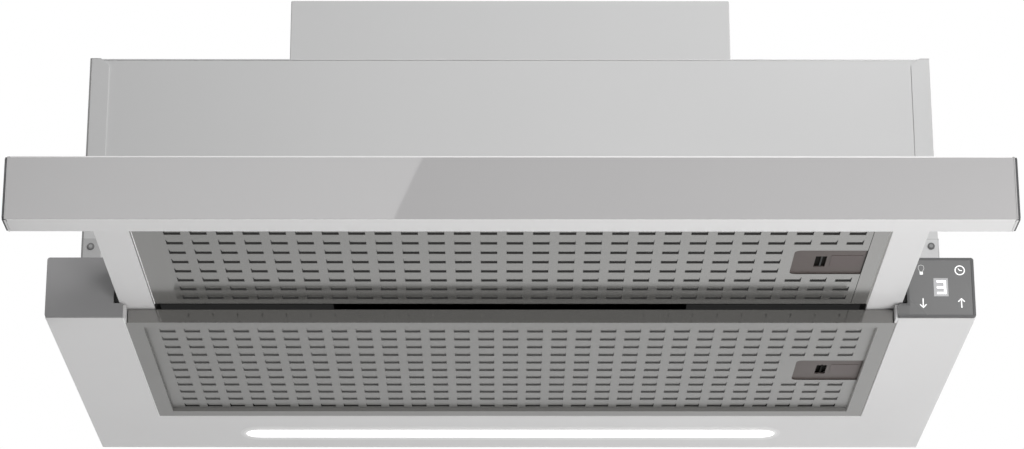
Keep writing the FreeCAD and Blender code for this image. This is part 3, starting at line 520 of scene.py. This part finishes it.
clock_at, clock_radius, clock_line, clock_sides = (289.8, 31.8), 3.0, 0.68, 24
hands, hand_line = ((-0.9, 1.1), (-0.1, -0.1), (1.3, -0.2)), 0.55
clock = stroke(disc_outline(*clock_at, clock_radius, clock_sides), clock_line, closed=True)
printed("clock", clock + stroke(placed(clock_at, hands), hand_line))

bulb_at, bulb_line = (264.9, 32.6), 0.35
bulb = ((-0.9, -1.6), (-1.9, 0.4), (-1.6, 2.2), (0, 2.9), (1.6, 2.2), (1.9, 0.4), (0.9, -1.6))
bulb_base = box_outline(-1.0, 1.0, -3.7, -1.7)
printed("lamp_sign", stroke(placed(bulb_at, bulb), bulb_line), print_grey)
printed("lamp_sign_base", [placed(bulb_at, bulb_base)])

# The display's figure has three bars and one long upright on their right
figure_at, figure_half, figure_rise, figure_line = (277.4, 20.3), 2.4, 3.9, 1.3
figure_runs = [[(-figure_half, z), (figure_half, z)] for z in (figure_rise, 0, -figure_rise)]
figure_runs.append([(figure_half, -figure_rise), (figure_half, figure_rise)])
figure = []
for run in figure_runs:
    figure += stroke(placed(figure_at, run), figure_line)
printed("display_figure", figure, glowing("figure_glow", (1, 1, 1), 0.6))


def holed(name, outline, hole, start, end, material, body):
    """Upright plate with one hole, both outlines given as x and z."""
    bm = bmesh.new()
    sides = []
    for y in (start, end):
        sides.append([[bm.verts.new(mm(x, y, z)) for x, z in points] for points in (outline, hole)])
    for front, back in zip(*sides):
        walls(bm, front, back)
    for side in sides:
        fill_between(bm, *side)
    bmesh.ops.recalc_face_normals(bm, faces=bm.faces)
    return link(name, mesh_from(bm, name), material, body)


# The touch face is one plate over the box of the control and a second over the arm's foot
plate_x, foot_x = (256.3, 297.1), (250.0, 256.3)
plate_z, foot_z = (1.5, 38.7), (1.5, 8.4)
window = box_outline(272.5, 281.9, 14.1, 26.5)
main_plate = holed("touch_plate", box_outline(*plate_x, *plate_z), window, face_y, plate_back_y,
                   touch_face, "housing")
foot_plate = extruded("touch_foot", box_outline(*foot_x, *foot_z), "y", face_y, plate_back_y,
                      foot_face, "housing")
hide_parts("touch_panel")

# The inner lower corner of each end cap stands a little prouder than the lower frame
toe_y, toe_top = (-0.08, 1.2), 8.5
left_toe = ((-250.9, -248.9), toe_y, (0.3, toe_top))
right_toe = ((248.9, 251.6), toe_y, (1.4, toe_top))
trim("left_cap_toe", [left_toe], grey_plastic, "housing")
trim("right_cap_toe", [right_toe], foot_face, "housing")

# Casing screws

pan_rise, pan_round, pan_sides = 1.3, 0.5, 20
cross_low, cross_high, cross_half, cross_share = 0.5, 1.34, 0.3, 0.55
large_pan, small_pan = 2.6, 2.2


def casing_screws(name, axis, level, way, places, radius):
    """Pan heads standing on a face of the casing, each with a black cross on top as painted shade of
    its cross slot.
    """
    low, high = sorted((level, level + way * pan_rise))
    pans = [extruded("pan", disc_outline(*place, radius, pan_sides), axis, low, high, screw_metal,
                     "housing", pan_round) for place in places]
    joined(name + "_heads", pans)
    # A black cross on each head is painted shade for its cross slot
    low, high = sorted((level + way * cross_low, level + way * cross_high))
    cross_reach = radius * cross_share
    black_crosses = []
    for a, b in places:
        for wide, tall in ((cross_reach, cross_half), (cross_half, cross_reach)):
            outline = box_outline(a - wide, a + wide, b - tall, b + tall)
            black_crosses.append(extruded("cross", outline, axis, low, high, latch_metal, "housing"))
    joined(name + "_cross_shade", black_crosses)


def grid(across, along):
    """Places at all crossings of two rows of values."""
    return [(a, b) for a in across for b in along]


back_x, back_y, back_zs = 267.5, 310.5, (62.0, 114.5, 167.0)
side_x, side_ys, side_zs = 280.0, (42.0, 290.0), (52.0, 176.0)
top_x, top_ys, top_z = 270.0, (52.0, 166.0, 280.0), 188.4
flange_x, flange_ys, flange_z = 155.7, (96.0, 190.0, 284.0), 189.2
front_flange_xs, front_flange_y = (-105.0, 0.0, 105.0), 76.0
collar_xs, collar_ys, collar_z = (-76.0, 76.0), (149.0, 301.0), 258.7

for side, word in ((-1, "left"), (1, "right")):
    casing_screws(word + "_back", "y", back_y, 1, grid([side * back_x], back_zs), large_pan)
    casing_screws(word + "_side", "x", side * side_x, side, grid(side_ys, side_zs), small_pan)
    casing_screws(word + "_top", "z", top_z, 1, grid([side * top_x], top_ys), large_pan)
    casing_screws(word + "_box_flange", "z", flange_z, 1, grid([side * flange_x], flange_ys), small_pan)
casing_screws("front_box_flange", "z", flange_z, 1, grid(front_flange_xs, [front_flange_y]), small_pan)
casing_screws("collar", "z", collar_z, 1, grid(collar_xs, collar_ys), small_pan)

# Facia edges: a pale strip along the glass's top edge as a painted highlight, the painted lower
# edges, and the glass's laps over the front of each end cap

facia_x = (-296.5, 296.5)
glass_top_highlight = (facia_x, (-180.8, -180.3), (40.7, 41.35))
lower_edge = (facia_x, (-180.6, -176.6), (1.6, 1.75))
cap_edge_y, cap_edge_z = (-179.3, -159.3), (1.55, 1.72)
cap_edges = [(x, cap_edge_y, cap_edge_z) for x in both_sides(297.3, 298.35)]
trim("facia_edges", [glass_top_highlight, lower_edge, *cap_edges], facia_paint, "drawer")

lap_y, lap_z = (-180.95, -180.6), (1.9, 41.1)
laps = [(x, lap_y, lap_z) for x in both_sides(297.4, 298.05)]
trim("facia_laps", laps, facia_front, "drawer")

# Tabs

tab_face = 20.8
tab_low, tab_high = 40.6, 60.6
tab_screw_places = ((275.1, 55.4), (-274.2, 55.0))
head_radius, head_rise, head_round, head_sides = 2.35, 1.0, 0.25, 28
recess_radius, recess_rise, recess_sides = 1.2, 1.1, 20

heads, recesses = [], []
for place in tab_screw_places:
    heads.append(extruded("head", disc_outline(*place, head_radius, head_sides), "y",
                          tab_face - head_rise, tab_face, screw_metal, "housing", head_round))
    recesses.append(extruded("recess", disc_outline(*place, recess_radius, recess_sides), "y",
                             tab_face - recess_rise, tab_face, screw_recess, "housing"))
tab_heads = joined("tab_screw_heads", heads)
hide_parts("tab_screws")
joined("tab_screw_recesses", recesses)

right_tab, left_tab = (267.6, 280.1), (-280.1, -267.6)
tab_y, tab_z = (tab_face - 0.1, tab_face), (tab_low, 60.5)
# The left tab's face is darker, as painted shade from the arm and facia
tab_plates = [trim("right_tab_face", [(right_tab, tab_y, tab_z)], body_paint, "housing"),
              trim("left_tab_face", [(left_tab, tab_y, tab_z)], left_tab_painted_shade, "housing")]

# Darker strips of painted shade along the tabs' tops and the right one's side, and down the left side's
# fold
edge_y, edge_z = (tab_face - 0.15, tab_face + 0.3), (60.0, tab_high)
tab_edge_shade_strips = [(right_tab, edge_y, edge_z), ((279.6, 280.2), edge_y, (tab_low, tab_high)),
             (left_tab, edge_y, edge_z)]
trim("tab_edge_shade_strips", tab_edge_shade_strips, tab_edge_painted_shade, "housing")
folds = [((-280.5, -279.4), (21.5, 22.4), (tab_low, 188.5)),
         ((-280.4, -279.2), (20.5, 21.4), (tab_low, tab_high))]
trim("left_panel_fold_shade", folds, shade_paint, "housing")

# Lamp

lamp_x, lamp_y, lamp_half, lamp_side, lamp_round = 0.5, 273.0, 190.6, 8.7, 10.0
lamp_top = 0.05
end_steps = 24


def lamp_outline(grow):
    """Long outline with oval ends."""
    points = []
    reach = lamp_half - lamp_round
    for side in (1, -1):
        for k in range(end_steps + 1):
            angle = math.radians(180 * k / end_steps - 90)
            points.append((lamp_x + side * (reach + (lamp_round + grow / 2) * math.cos(angle)),
                           lamp_y + side * (lamp_side + grow) * math.sin(angle)))
    return points


# The lens, and rings round it whose painted glow grows weaker outwards, each by its growth and its
# lower level
for name, grow, low, material in (("lamp_lens", 0, -0.4, lamp_core), ("lamp_rim", 1.8, -0.2, lamp_rim_painted_glow),
                                  ("lamp_halo", 4.8, -0.13, halo_painted_glow),
                                  ("lamp_outer_halo", 9.0, -0.06, outer_halo_painted_glow)):
    ring = extruded(name, lamp_outline(grow), "z", low, lamp_top, material, "housing")

# Grease filters

hair = 1e-6


class FilterPlate:
    """A slotted sheet: a louvre rises into each hole from its front edge, and a pressed recess
    holds the latch. Sizes are in millimetres of the CAD source."""

    wall = 0.35
    hole = (10.2, 9.6)

    # Louvre: how far its tongue starts before the hole, ends behind it, rises and is thick. The
    # shear cut beside it stands open a little more on the side away from the middle.
    root, past, lift, tongue = 0.05, 0.4, 1.2, 0.3
    least_gap, more_gap, gap_half_span = 0.05, 0.9, 180.0

    # Latch recess: its size, depth and round corners
    recess, dish, corner, corner_steps = 45.0, 1.0, 4.0, 6

    # Slot for the pull and raised channel, from the slot's place in the recess
    slot_x, slot_y, slot_depth = (-3.0, 4.0), (-8.7, 11.3), 0.8
    channel_x, channel_end, channel_half = 6.6, 2.0, 10.5
    channel_low, channel_high, channel_round = 0.2, 0.1, 0.05

    def __init__(self, name, metal, xs, ys, bottom, columns, rows, pitch, first_row, shift, right,
                 recess_front, slot_at):
        self.name, self.metal = name, metal
        self.xs, self.ys, self.bottom = xs, ys, bottom
        self.columns, self.rows, self.pitch = columns, rows, pitch
        self.first_row, self.shift = first_row, shift
        self.left, self.right = right - self.recess, right
        self.recess_front, self.recess_rear = recess_front, recess_front + self.recess
        self.slot_at = slot_at

    def column_left(self, i):
        return self.shift + (i - (self.columns - 1) / 2) * self.pitch[0] - self.hole[0] / 2

    def row_front(self, j):
        return self.first_row + j * self.pitch[1]

    def holes(self):
        """The x and y spans of each hole; there is none in the recess."""
        for i in range(self.columns):
            for j in range(self.rows):
                x0, y0 = self.column_left(i), self.row_front(j)
                x1, y1 = x0 + self.hole[0], y0 + self.hole[1]
                if x1 < self.left or y1 < self.recess_front or y1 > self.recess_rear:
                    yield (x0, x1), (y0, y1)

    def grid_lines(self):
        """All x and y at which the sheet, a line of holes or the recess starts or ends."""
        xs = {*self.xs, self.left, min(self.right, self.xs[1])}
        ys = {*self.ys, self.recess_front, self.recess_rear}
        for i in range(self.columns):
            xs |= {self.column_left(i), self.column_left(i) + self.hole[0]}
        for j in range(self.rows):
            ys |= {self.row_front(j), self.row_front(j) + self.hole[1]}
        return sorted(xs), sorted(ys)

    def open_cells(self, xs, ys):
        """Cells between the grid lines that lie in a hole or in the recess."""
        recess = ((self.left, self.right), (self.recess_front, self.recess_rear))
        found = set()
        for x_span, y_span in (*self.holes(), recess):
            across = [a for a, x in enumerate(xs[:-1]) if x_span[0] - hair <= x < x_span[1] - hair]
            along = [b for b, y in enumerate(ys[:-1]) if y_span[0] - hair <= y < y_span[1] - hair]
            found |= {(a, b) for a in across for b in along}
        return found

    def sheet(self):
        """Flat cells at the bottom and the top of the sheet, and the walls of its openings."""
        xs, ys = self.grid_lines()
        open_cells = self.open_cells(xs, ys)
        bm = bmesh.new()
        lower, upper = (
            {(a, b): bm.verts.new(mm(x, y, z)) for a, x in enumerate(xs) for b, y in enumerate(ys)}
            for z in (self.bottom, self.bottom + self.wall))
        for a in range(len(xs) - 1):
            for b in range(len(ys) - 1):
                if (a, b) not in open_cells:
                    corners = [(a, b), (a, b + 1), (a + 1, b + 1), (a + 1, b)]
                    bm.faces.new([lower[corner] for corner in corners])
                    bm.faces.new([upper[corner] for corner in corners[::-1]])
        above = {vert: upper[place] for place, vert in lower.items()}
        for edge in [edge for edge in bm.edges if edge.is_boundary and edge.verts[0] in above]:
            start, end = edge.verts
            bm.faces.new((start, end, above[end], above[start]))
        loose = [vert for vert in bm.verts if not vert.link_faces]
        bmesh.ops.delete(bm, geom=loose, context="VERTS")
        return bm

    def louvres(self, bm):
        """Tongue in each hole, from the hole's front edge up to the level behind its rear edge."""
        thick = Vector((0, 0, self.tongue))
        for (x0, x1), (y0, y1) in self.holes():
            ends = []
            for side, x in ((1, x0), (-1, x1)):
                more = max(0.0, min(1.0, -side * x / self.gap_half_span))
                gap = self.least_gap + self.more_gap * more
                near = Vector((x, y0 - self.root, self.bottom))
                far = Vector((x + side * gap, y1 + self.past, self.bottom + self.lift))
                points = (near, far, far + thick, near + thick)
                ends.append([bm.verts.new(mm(*point)) for point in points])
            bm.faces.new(ends[0])
            bm.faces.new(ends[1][::-1])
            walls(bm, ends[1], ends[0])

    def make(self, body, replaced):
        bm = self.sheet()
        self.louvres(bm)
        bmesh.ops.recalc_face_normals(bm, faces=bm.faces)
        plate = link(self.name + "_louvred_sheet", mesh_from(bm, self.name), self.metal, body)
        self.flatten_shading(plate.data)
        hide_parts(*replaced)
        self.make_recess(body)

    def flatten_shading(self, mesh):
        """The louvres slope by a few degrees only, and shine as the flat sheet around them does."""
        normals = []
        for polygon in mesh.polygons:
            normal = polygon.normal
            if normal.z < -0.9:
                normal = Vector((0, 0, -1))
            normals += [normal] * polygon.loop_total
        mesh.normals_split_custom_set(normals)

    def corner_arc(self, centre_y, start):
        """Quarter turn of one of the recess's two round corners."""
        radius, centre_x = self.corner, self.left + self.corner
        arc = []
        for k in range(self.corner_steps + 1):
            angle = math.radians(start + 90 * k / self.corner_steps)
            arc.append((centre_x + radius * math.cos(angle), centre_y + radius * math.sin(angle)))
        return arc

    def make_recess(self, body):
        """Pressed recess with two round corners, a slot for the pull and a raised channel."""
        rear_arc = self.corner_arc(self.recess_rear - self.corner, 90)
        front_arc = self.corner_arc(self.recess_front + self.corner, 180)
        outline = [(self.right, self.recess_front), (self.right, self.recess_rear)]
        outline += rear_arc + front_arc
        x, y = self.left + self.slot_at, (self.recess_front + self.recess_rear) / 2
        slot = placed((x, y), box_outline(*self.slot_x, *self.slot_y))
        floor_z = self.bottom + self.dish
        bm = bmesh.new()
        rim, floor, inner, deep = (
            [bm.verts.new(mm(a, b, z)) for a, b in points]
            for points, z in ((outline, self.bottom), (outline, floor_z), (slot, floor_z),
                              (slot, floor_z + self.slot_depth)))
        # The dish's walls get a lighter tone, as painted light
        for face in walls(bm, rim, floor):
            face.material_index = 1
        walls(bm, inner, deep)
        fill_between(bm, floor, inner)
        bmesh.ops.recalc_face_normals(bm, faces=bm.faces)
        name = self.name + "_recess"
        dish = link(name, mesh_from(bm, name), recess_metal, body)
        dish.data.materials.append(recess_wall_painted_light)
        corners = []
        for y_end, arc in ((self.recess_rear, rear_arc), (self.recess_front, front_arc)):
            corners.append(extruded("corner", [(self.left, y_end), *arc], "z", self.bottom,
                                    self.bottom + self.wall, self.metal, body))
        joined(name + "_corners", corners)
        channel = box_outline(x + self.channel_x, self.right - self.channel_end,
                              y - self.channel_half, y + self.channel_half)
        step = extruded(self.name + "_channel", channel, "z", floor_z - self.channel_low,
                        floor_z + self.channel_high, channel_metal, body, self.channel_round)


# The front latch's pull reaches down into the slot, as the rear one does, and a dark plate of
# painted shade behind the slot keeps the painted glow above it out of the slot
latch_body = nodes["front_filter_latch"]["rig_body"]
rib = ((192.0, 193.0), (-83.0, -60.0), (12.6, 13.2))
slot_shade = ((187.0, 198.0), (-86.0, -54.0), (13.45, 13.65))
trim("front_pull_rib", [rib], rubber, latch_body)
trim("front_slot_shade", [slot_shade], latch_metal, "front_filter")

# A black strip on the rear pad above the last row of holes darkens that row, as painted shade
pad_painted_shade = ((-236.0, 236.0), (209.5, 226.0), (4.2, 4.6))
trim("rear_pad_painted_shade", [pad_painted_shade], latch_metal, "rear_filter")

# Lips close the sight gaps beside the front filter, each with an outer foot that reaches lower. The
# left one is pale as a painted highlight along the arm's edge, and the right one is a lighter metal as
# painted light on a wall that would be in shade.
lip_inner, lip_low, lip_top, lip_y = 228.95, 11.12, 12.0, (-158.0, 6.4)
for name, side, outer, foot, material in (("left_filter_lip", -1, 229.4, 10.6, painted_edge_highlight),
                                          ("right_filter_lip", 1, 229.97, 10.2, rim_cheek_painted_light)):
    outline = [(side * lip_inner, lip_low), (side * outer, foot), (side * outer, lip_top),
               (side * lip_inner, lip_top)]
    extruded(name, outline, "y", *lip_y, material, "front_filter")

# Lips beside the rear filter
rear_lip_y, rear_lip_z = (12.6, 227.8), (0.03, 0.8)
rear_lips = [(x, rear_lip_y, rear_lip_z) for x in ((247.8, 248.95), (-248.4, -247.8))]
trim("rear_filter_lips", rear_lips, rear_filter_metal, "rear_filter")

# Folded front ends of the opening's sides, the dark seam between them and the rear filter, and a
# pale strip along the opening's left edge as a painted highlight
end_y, end_z = (2.6, 12.2), (0.05, 9.0)
seam_y, seam_z = (12.25, 12.4), (0.1, 9.1)
fold_ends = [(x, end_y, end_z) for x in both_sides(247.7, 249.25)]
seams = [(x, seam_y, seam_z) for x in both_sides(247.05, 247.65)]
trim("opening_front_ends", fold_ends, white_paint, "housing")
trim("rear_filter_seams", seams, rubber, "rear_filter")
opening_highlight = ((-249.25, -248.6), (2.6, 228.8), (-0.04, 0.4))
trim("left_opening_highlight", [opening_highlight], painted_edge_highlight, "housing")

# Black strips under the drawer's rear crossbar stand for the shade seen through the gap between
# the filters, as painted shade. Their ends and cheeks carry a little painted glow.
shade_strip_y, shade_strip_z = (38.3, 51.7), (21.15, 21.55)
cheek_y, cheek_z = (7.2, 51.7), (11.4, 21.5)
shade_strip_ends = [((-229.9, -116.0), shade_strip_y, shade_strip_z), ((115.5, 229.9), shade_strip_y, shade_strip_z)]
cheeks = [(x, cheek_y, cheek_z) for x in both_sides(229.6, 229.95)]
trim("crossbar_shade", [((-116.0, 115.5), shade_strip_y, shade_strip_z)], latch_metal, "drawer")
trim("crossbar_glow_ends", shade_strip_ends + cheeks, black_with_painted_glow, "drawer")

# Black strips under the drawer's slides fill the gap beside each arm with painted shade
gap_shade_y, gap_shade_z = (2.45, 60.0), (10.9, 13.5)
riser_shade_y, riser_shade_z = (2.6, 3.95), (13.4, 22.0)
gap_shade_strips = []
for x in both_sides(252.25, 254.95):
    gap_shade_strips += [(x, gap_shade_y, gap_shade_z), (x, riser_shade_y, riser_shade_z)]
trim("slide_gap_shade", gap_shade_strips, rubber, "housing")

front_plate = FilterPlate(
    "front", filter_metal, xs=(-219.4, 219.1), ys=(-157.2, 5.6), bottom=11.15, columns=27, rows=9,
    pitch=(15.945, 17.72), first_row=-153.8, shift=2.4, right=219.4, recess_front=-98.0, slot_at=17.1)
rear_plate = FilterPlate(
    "rear", rear_filter_metal, xs=(-247.0, 247.0), ys=(13.4, 227.0), bottom=2.7, columns=29, rows=11,
    pitch=(16.0, 17.24), first_row=31.9, shift=0.1, right=237.9, recess_front=103.1, slot_at=17.8)
front_plate.make("front_filter", ("front_filter_panel", "front_filter_backing"))
rear_plate.make("rear_filter", ("rear_filter_panel", "rear_filter_backing"))

# Camera

focal_px = 3133.8
frame_width_px = 1024
sensor_mm = 36
camera_place = mm(-4.80, -1913.5, -619.84)
camera_pitch = math.radians(19.64)
camera_yaw = 0.003
camera_roll = -0.0006

forward = Vector((math.sin(camera_yaw) * math.cos(camera_pitch),
                  math.cos(camera_yaw) * math.cos(camera_pitch), math.sin(camera_pitch)))
right = Vector((math.cos(camera_yaw), -math.sin(camera_yaw), 0))
up = right.cross(forward)
right, up = right + up * camera_roll, up - right * camera_roll
camera_data = bpy.data.cameras.new("camera")
camera_data.sensor_width = sensor_mm
camera_data.lens = focal_px * sensor_mm / frame_width_px
camera = bpy.data.objects.new("camera", camera_data)
scene.collection.objects.link(camera)
turn = Matrix((right, up, -forward)).transposed().to_4x4()
camera.matrix_world = Matrix.Translation(camera_place) @ turn
scene.camera = camera

# Floor, lamps, cards and background


def flat_card(name, corners, material, hidden_from=()):
    """Flat stage piece that some kinds of rays don't meet."""
    mesh = bpy.data.meshes.new(name)
    mesh.from_pydata(corners, [], [list(range(len(corners)))])
    obj = bpy.data.objects.new(name, mesh)
    scene.collection.objects.link(obj)
    dress(obj, material)
    for ray in hidden_from:
        setattr(obj, "visible_" + ray, False)
    return obj


not_glossy = ("camera", "glossy", "transmission", "shadow")
only_glossy = ("camera", "diffuse", "transmission", "shadow")

floor_z, floor_half = -1.05, 1.6
floor_material, tree, shader = new_material("floor")
shader.inputs["Roughness"].default_value = 0.9
floor_grain = noise(tree, object_coords(tree), 40.0)
tree.links.new(tinted(tree, floor_grain, (0.8, 0.8, 0.8), 0.01), shader.inputs["Base Color"])
corners = [(x, y, floor_z) for x, y in box_outline(-floor_half, floor_half, -floor_half, floor_half)]
flat_card("floor", corners, floor_material)

# The world is white where it is seen, mirrored or looked through, and half as bright elsewhere
room_light = 0.5
world = bpy.data.worlds.new("world")
scene.world = world
world.use_nodes = True
tree = world.node_tree
tree.nodes.clear()
path = add(tree, "ShaderNodeLightPath")
seen = path.outputs["Is Camera Ray"]
for ray in ("Is Glossy Ray", "Is Transmission Ray"):
    either = add(tree, "ShaderNodeMath", operation="MAXIMUM")
    tree.links.new(seen, either.inputs[0])
    tree.links.new(path.outputs[ray], either.inputs[1])
    seen = either.outputs[0]
sky = add(tree, "ShaderNodeBackground", in_Color=(1, 1, 1, 1))
tree.links.new(ramp(tree, seen, room_light, 1.0, 0.0, 1.0), sky.inputs["Strength"])
out = add(tree, "ShaderNodeOutputWorld")
tree.links.new(sky.outputs["Background"], out.inputs["Surface"])


lamp_size = 0.8


def area_light(name, place, target, power):
    """Square lamp that no camera ray and no mirror shows."""
    data = bpy.data.lights.new(name, "AREA")
    data.shape = "SQUARE"
    data.size = lamp_size
    data.energy = power
    obj = bpy.data.objects.new(name, data)
    scene.collection.objects.link(obj)
    place, target = Vector(place), Vector(target)
    obj.rotation_euler = (target - place).to_track_quat("-Z", "Y").to_euler()
    obj.location = place
    obj.visible_camera = False
    obj.visible_glossy = False
    return obj


area_light("key", (0.9, -1.52, 0.4), (0.0, 0.0, 0.1), 21)
under = area_light("under", (0.8, -0.9, -0.85), (0.1, 0.0, 0.0), 14.5)


def left_out(name, objects):
    """Collection of objects that a lamp leaves out of its light or of its shadows."""
    collection = bpy.data.collections.new(name)
    for obj in objects:
        collection.objects.link(obj)
    for item in collection.collection_objects:
        item.light_linking.link_state = "EXCLUDE"
    return collection


def skins(*names):
    return [bpy.data.objects[name + "_skin"] for name in names]


# The lower lamp is kept off the casing, which the drawer shades only in part, and the rear
# filter's folded rim and the right arm throw no shadow of it on what is beside them
casing = skins("front_panel", "right_side_panel", "left_side_panel", "motor_box")
under.light_linking.receiver_collection = left_out("kept_from_lower_lamp", casing + tab_plates)
under.light_linking.blocker_collection = left_out("no_shadow_from_lower_lamp",
                                                  skins("rear_filter_frame", "right_arm"))

# Black flags at the sides keep part of the room's light off the hood, more of it on the left
flag_front, flag_rear = -0.8, -0.05
flag_material, tree, shader = new_material("flag_cloth")
shader.inputs["Base Color"].default_value = (0.01, 0.01, 0.01, 1)
for name, x, low, high in (("left_flag", -0.31, -0.02, 0.45), ("right_flag", 0.33, 0.04, 0.2)):
    corners = [(x, y, z) for y, z in box_outline(flag_front, flag_rear, low, high)]
    flat_card(name, corners, flag_material, not_glossy)

# A bright panel in front of the hood and above it, seen only in the facia's gloss. Its right
# edge leans, so the facia shows a lighter left part with a slanting end.
card_y, card_left = -3.0, -2.2
edge_low, edge_high = (-0.392, 0.4), (0.212, 2.0)
card_strength = 2.95
corners = [(x, card_y, z) for x, z in ((card_left, edge_low[1]), edge_low, edge_high,
                                       (card_left, edge_high[1]))]
flat_card("gloss_card", corners, glowing("card_glow", (1, 1, 1), card_strength), only_glossy)

# A dark strip under the rear filter's front edge, seen only in the front sheet's shine
strip_half, strip_y, strip_top = 217.0, 3.0, 2.9
corners = [mm(x, strip_y, z) for x, z in box_outline(-strip_half, strip_half, 0.0, strip_top)]
flat_card("shade_card", corners, rim_side, only_glossy)

# A panel behind the hood, seen only in the filters' shine, that brightens towards the right
back_half, back_y, back_z = 1.6, 1.9, (-1.04, 0.8)
glow_left, glow_right, glow_half_span = 0.75, 1.15, 0.42
back_glow, tree, shader = new_material("back_glow")
across = add(tree, "ShaderNodeSeparateXYZ")
tree.links.new(object_coords(tree), across.inputs[0])
glow = ramp(tree, across.outputs[0], glow_left, glow_right, -glow_half_span, glow_half_span)
shader.inputs["Base Color"].default_value = (0, 0, 0, 1)
shader.inputs["Specular IOR Level"].default_value = 0
shader.inputs["Emission Color"].default_value = (1, 1, 1, 1)
tree.links.new(glow, shader.inputs["Emission Strength"])
corners = [(x, back_y, z) for x, z in box_outline(-back_half, back_half, *back_z)]
flat_card("back_card", corners, back_glow, only_glossy)
